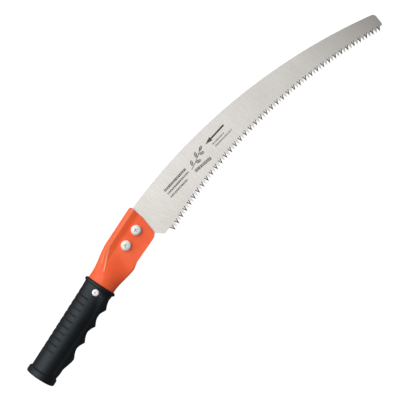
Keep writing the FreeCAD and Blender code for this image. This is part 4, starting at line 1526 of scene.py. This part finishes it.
def make_washer():
    """A split spring washer, whose two ends are cut at a slant."""
    top, foot, bevel = -float(SCREW_SEAT), -float(WASHER_FOOT), WASHER_BEVEL
    section = ((WASHER_R - bevel, top), (WASHER_R, top - bevel), (WASHER_R, foot + bevel),
               (WASHER_R - bevel, foot), (WASHER_HOLE_R + bevel, foot),
               (WASHER_HOLE_R, foot + bevel), (WASHER_HOLE_R, top - bevel),
               (WASHER_HOLE_R + bevel, top))
    points = []
    for i in range(WASHER_STEPS + 1):
        t = i / WASHER_STEPS
        a = WASHER_GAP + (2 * math.pi - 2 * WASHER_GAP) * t
        lean = 1 - 2 * t if abs(1 - 2 * t) > 0.9 else 0.0
        for r, z in section:
            b = a + (z - (top + foot) / 2) * math.tan(WASHER_CUT) / r * lean
            points.append((r * math.cos(b), r * math.sin(b), z))
    sides = len(section)
    faces = ring_faces(WASHER_STEPS + 1, sides)
    faces += [tuple(range(sides))[::-1], tuple(range(len(points) - sides, len(points)))]
    washer = new_piece("washer", points, faces)
    point_outwards(washer)
    smooth_faces(washer, 40)
    washer.data.materials.append(plated_steel)
    return washer


washer = make_washer()
for place, turn in (("rear", 12.0), ("front", 41.0)):
    place_on_body(copy_to(nut, "nut_", place, turn), "plated_steel", "hex_nut_" + place)
    place_on_body(copy_to(washer, "spring_washer_", place, turn * 3), "plated_steel",
                  "lock_washer_" + place)
remove_piece(nut)
remove_piece(washer)


# %% [markdown]
# ## The blind rivet
#
# One blind rivet pins the grip to the tube. Its head sits in a pocket in the rubber, with the
# broken end of its mandrel in the middle, and its tail is spread inside the tube. All of it is
# turned.

# %% The rivet
RIVET_R, STEM_R, RIVET_STEPS = 2.0, 1.1, 56


def make_rivet():
    low, seat = float(node_box("grip_rivet")[0][2]), RIVET_TOP - RIVET_HEAD_HEIGHT
    tail_top = low + 2.6
    profile = [(STEM_R, low), (2.3, low), (2.8, low + 0.5), (2.9, low + 1.3), (2.8, tail_top - 0.4),
               (2.3, tail_top), (RIVET_R, tail_top + 0.05), (RIVET_R, seat), (3.85, seat),
               (4.0, seat + 0.18)]
    for i in range(1, 9):
        a = math.pi / 2 * i / 9
        profile.append((1.5 + 2.5 * math.cos(a), seat + 0.18 + 0.98 * math.sin(a)))
    profile += [(1.4, RIVET_TOP), (STEM_R, RIVET_TOP - 0.1)]
    points = []
    for r, z in profile:
        points += [(*p, z) for p in circle(r, RIVET_STEPS, (RIVET_X, 0.0))]
    faces = ring_faces(len(profile), RIVET_STEPS, close_rows=True)
    rivet = new_piece("blind_rivet", points, faces)
    point_outwards(rivet)
    smooth_faces(rivet, 40)
    rivet.data.materials.append(rivet_aluminium)
    return rivet


place_on_body(make_rivet(), "rivet_aluminium", "grip_rivet")


# %% The mandrel
def make_mandrel():
    low, high = (float(corner[2]) for corner in node_box("rivet_mandrel"))
    ball_top, stem_r = low + 1.6, STEM_R - 0.01
    profile = [(0, low), (1.0, low), (1.6, low + 0.25), (1.88, low + 0.8), (1.6, ball_top - 0.15),
               (stem_r, ball_top), (stem_r, high - 0.12), (0.9, high), (0.5, high - 0.08),
               (0.2, high), (0, high - 0.06)]
    mandrel = turned("rivet_stem", profile, 32, (RIVET_X, 0))
    point_outwards(mandrel)
    mandrel.data.materials.append(mandrel_steel)
    return mandrel


place_on_body(make_mandrel(), "mandrel_steel", "rivet_mandrel")

# %% [markdown]
# ## Floor, light and camera
#
# The saw lies on a plain white table, seen from straight above. A white table would throw so much
# light back that the rubber turned grey. So this one is dark to everything but the camera, which
# sees it glow, as a light table does. A large soft light on the spine side gives the gloss its
# direction, and a small one overhead fills in. The room is brighter on the spine side too.

# %% The table
TABLE_SIZE, TABLE_DROP, TABLE_GLOW = 6.0, 0.0005, 1.25


def make_table():
    z = cad_low[2] - TABLE_DROP
    corners = [(x * TABLE_SIZE, y * TABLE_SIZE, z) for x, y in ((-1, -1), (1, -1), (1, 1), (-1, 1))]
    mesh = bpy.data.meshes.new("table_top")
    mesh.from_pydata(corners, [], [(0, 1, 2, 3)])
    floor = bpy.data.objects.new("table_top", mesh)
    bpy.context.scene.collection.objects.link(floor)
    finish = Finish("white_table", Roughness=0.9, Specular_IOR_Level=0.1)
    paper = finish.noise(3.0)
    finish.feed("Base Color", finish.blend(paper, (0.22, 0.22, 0.22, 1), (0.24, 0.24, 0.24, 1)))
    glow = finish.add("ShaderNodeEmission", values={"Strength": TABLE_GLOW})
    seen = finish.add("ShaderNodeLightPath", output="Is Camera Ray") * 0.82
    board = Flow(finish, finish.shader.outputs[0])
    shown = finish.add("ShaderNodeMixShader", values={0: seen, 1: board, 2: glow})
    finish.tree.links.new(shown.socket, finish.way_out.inputs["Surface"])
    mesh.materials.append(finish.material)
    return floor


print("made", make_table().name)


# %% The two lights
def add_light(name, place, aim, size, power):
    data = bpy.data.lights.new(name, "AREA")
    data.shape = "RECTANGLE"
    data.size, data.size_y = size
    data.energy = power
    lamp = bpy.data.objects.new(name, data)
    lamp.location = place
    way = Vector(aim) - Vector(place)
    lamp.rotation_euler = way.to_track_quat("-Z", "Y").to_euler()
    bpy.context.scene.collection.objects.link(lamp)
    print(name, "of", power, "W")


add_light("spine side softbox", (0.05, 1.4, 1.5), (0.25, 0, 0), (2.2, 1.5), 21)
add_light("overhead softbox", (0.1, 0.55, 2.4), (0.2, 0, 0), (1.3, 0.7), 9)


# %% The room
def make_room():
    world = bpy.data.worlds.new("white room")
    bpy.context.scene.world = world
    world.use_nodes = True
    room = Nodes(world.node_tree)
    room.tree.nodes.clear()
    x, y, z = room.parts_of(room.add("ShaderNodeTexCoord", output="Generated"))
    strength = y.ease(-0.8, 0.9, 0.12, 1.0)
    walls = room.add("ShaderNodeBackground", values={"Color": (1, 0.99, 0.985, 1), "Strength": strength})
    backdrop = room.add("ShaderNodeBackground", values={"Color": (1, 1, 1, 1), "Strength": 0.95})
    seen = room.add("ShaderNodeLightPath", output="Is Camera Ray")
    shown = room.add("ShaderNodeMixShader", values={0: seen, 1: walls, 2: backdrop})
    room.add("ShaderNodeOutputWorld", values={"Surface": shown})
    return world


print("made", make_room().name)

# %% The camera
VIEW_WIDTH, VIEW_HEIGHT, SENSOR = 0.4556, 1.8, 36.0
camera_data = bpy.data.cameras.new("camera")
camera = bpy.data.objects.new("camera", camera_data)
bpy.context.scene.collection.objects.link(camera)
bpy.context.scene.camera = camera
camera_data.sensor_width = SENSOR
camera_data.lens = SENSOR * VIEW_HEIGHT / VIEW_WIDTH
camera.location = (0.2675, -0.0412, VIEW_HEIGHT)
camera.rotation_euler = (0, 0, math.radians(-56.7))
camera_data.clip_start, camera_data.clip_end = 0.1, 50
bpy.context.scene.view_settings.view_transform = "Standard"
print("camera lens:", round(camera_data.lens, 1), "mm")
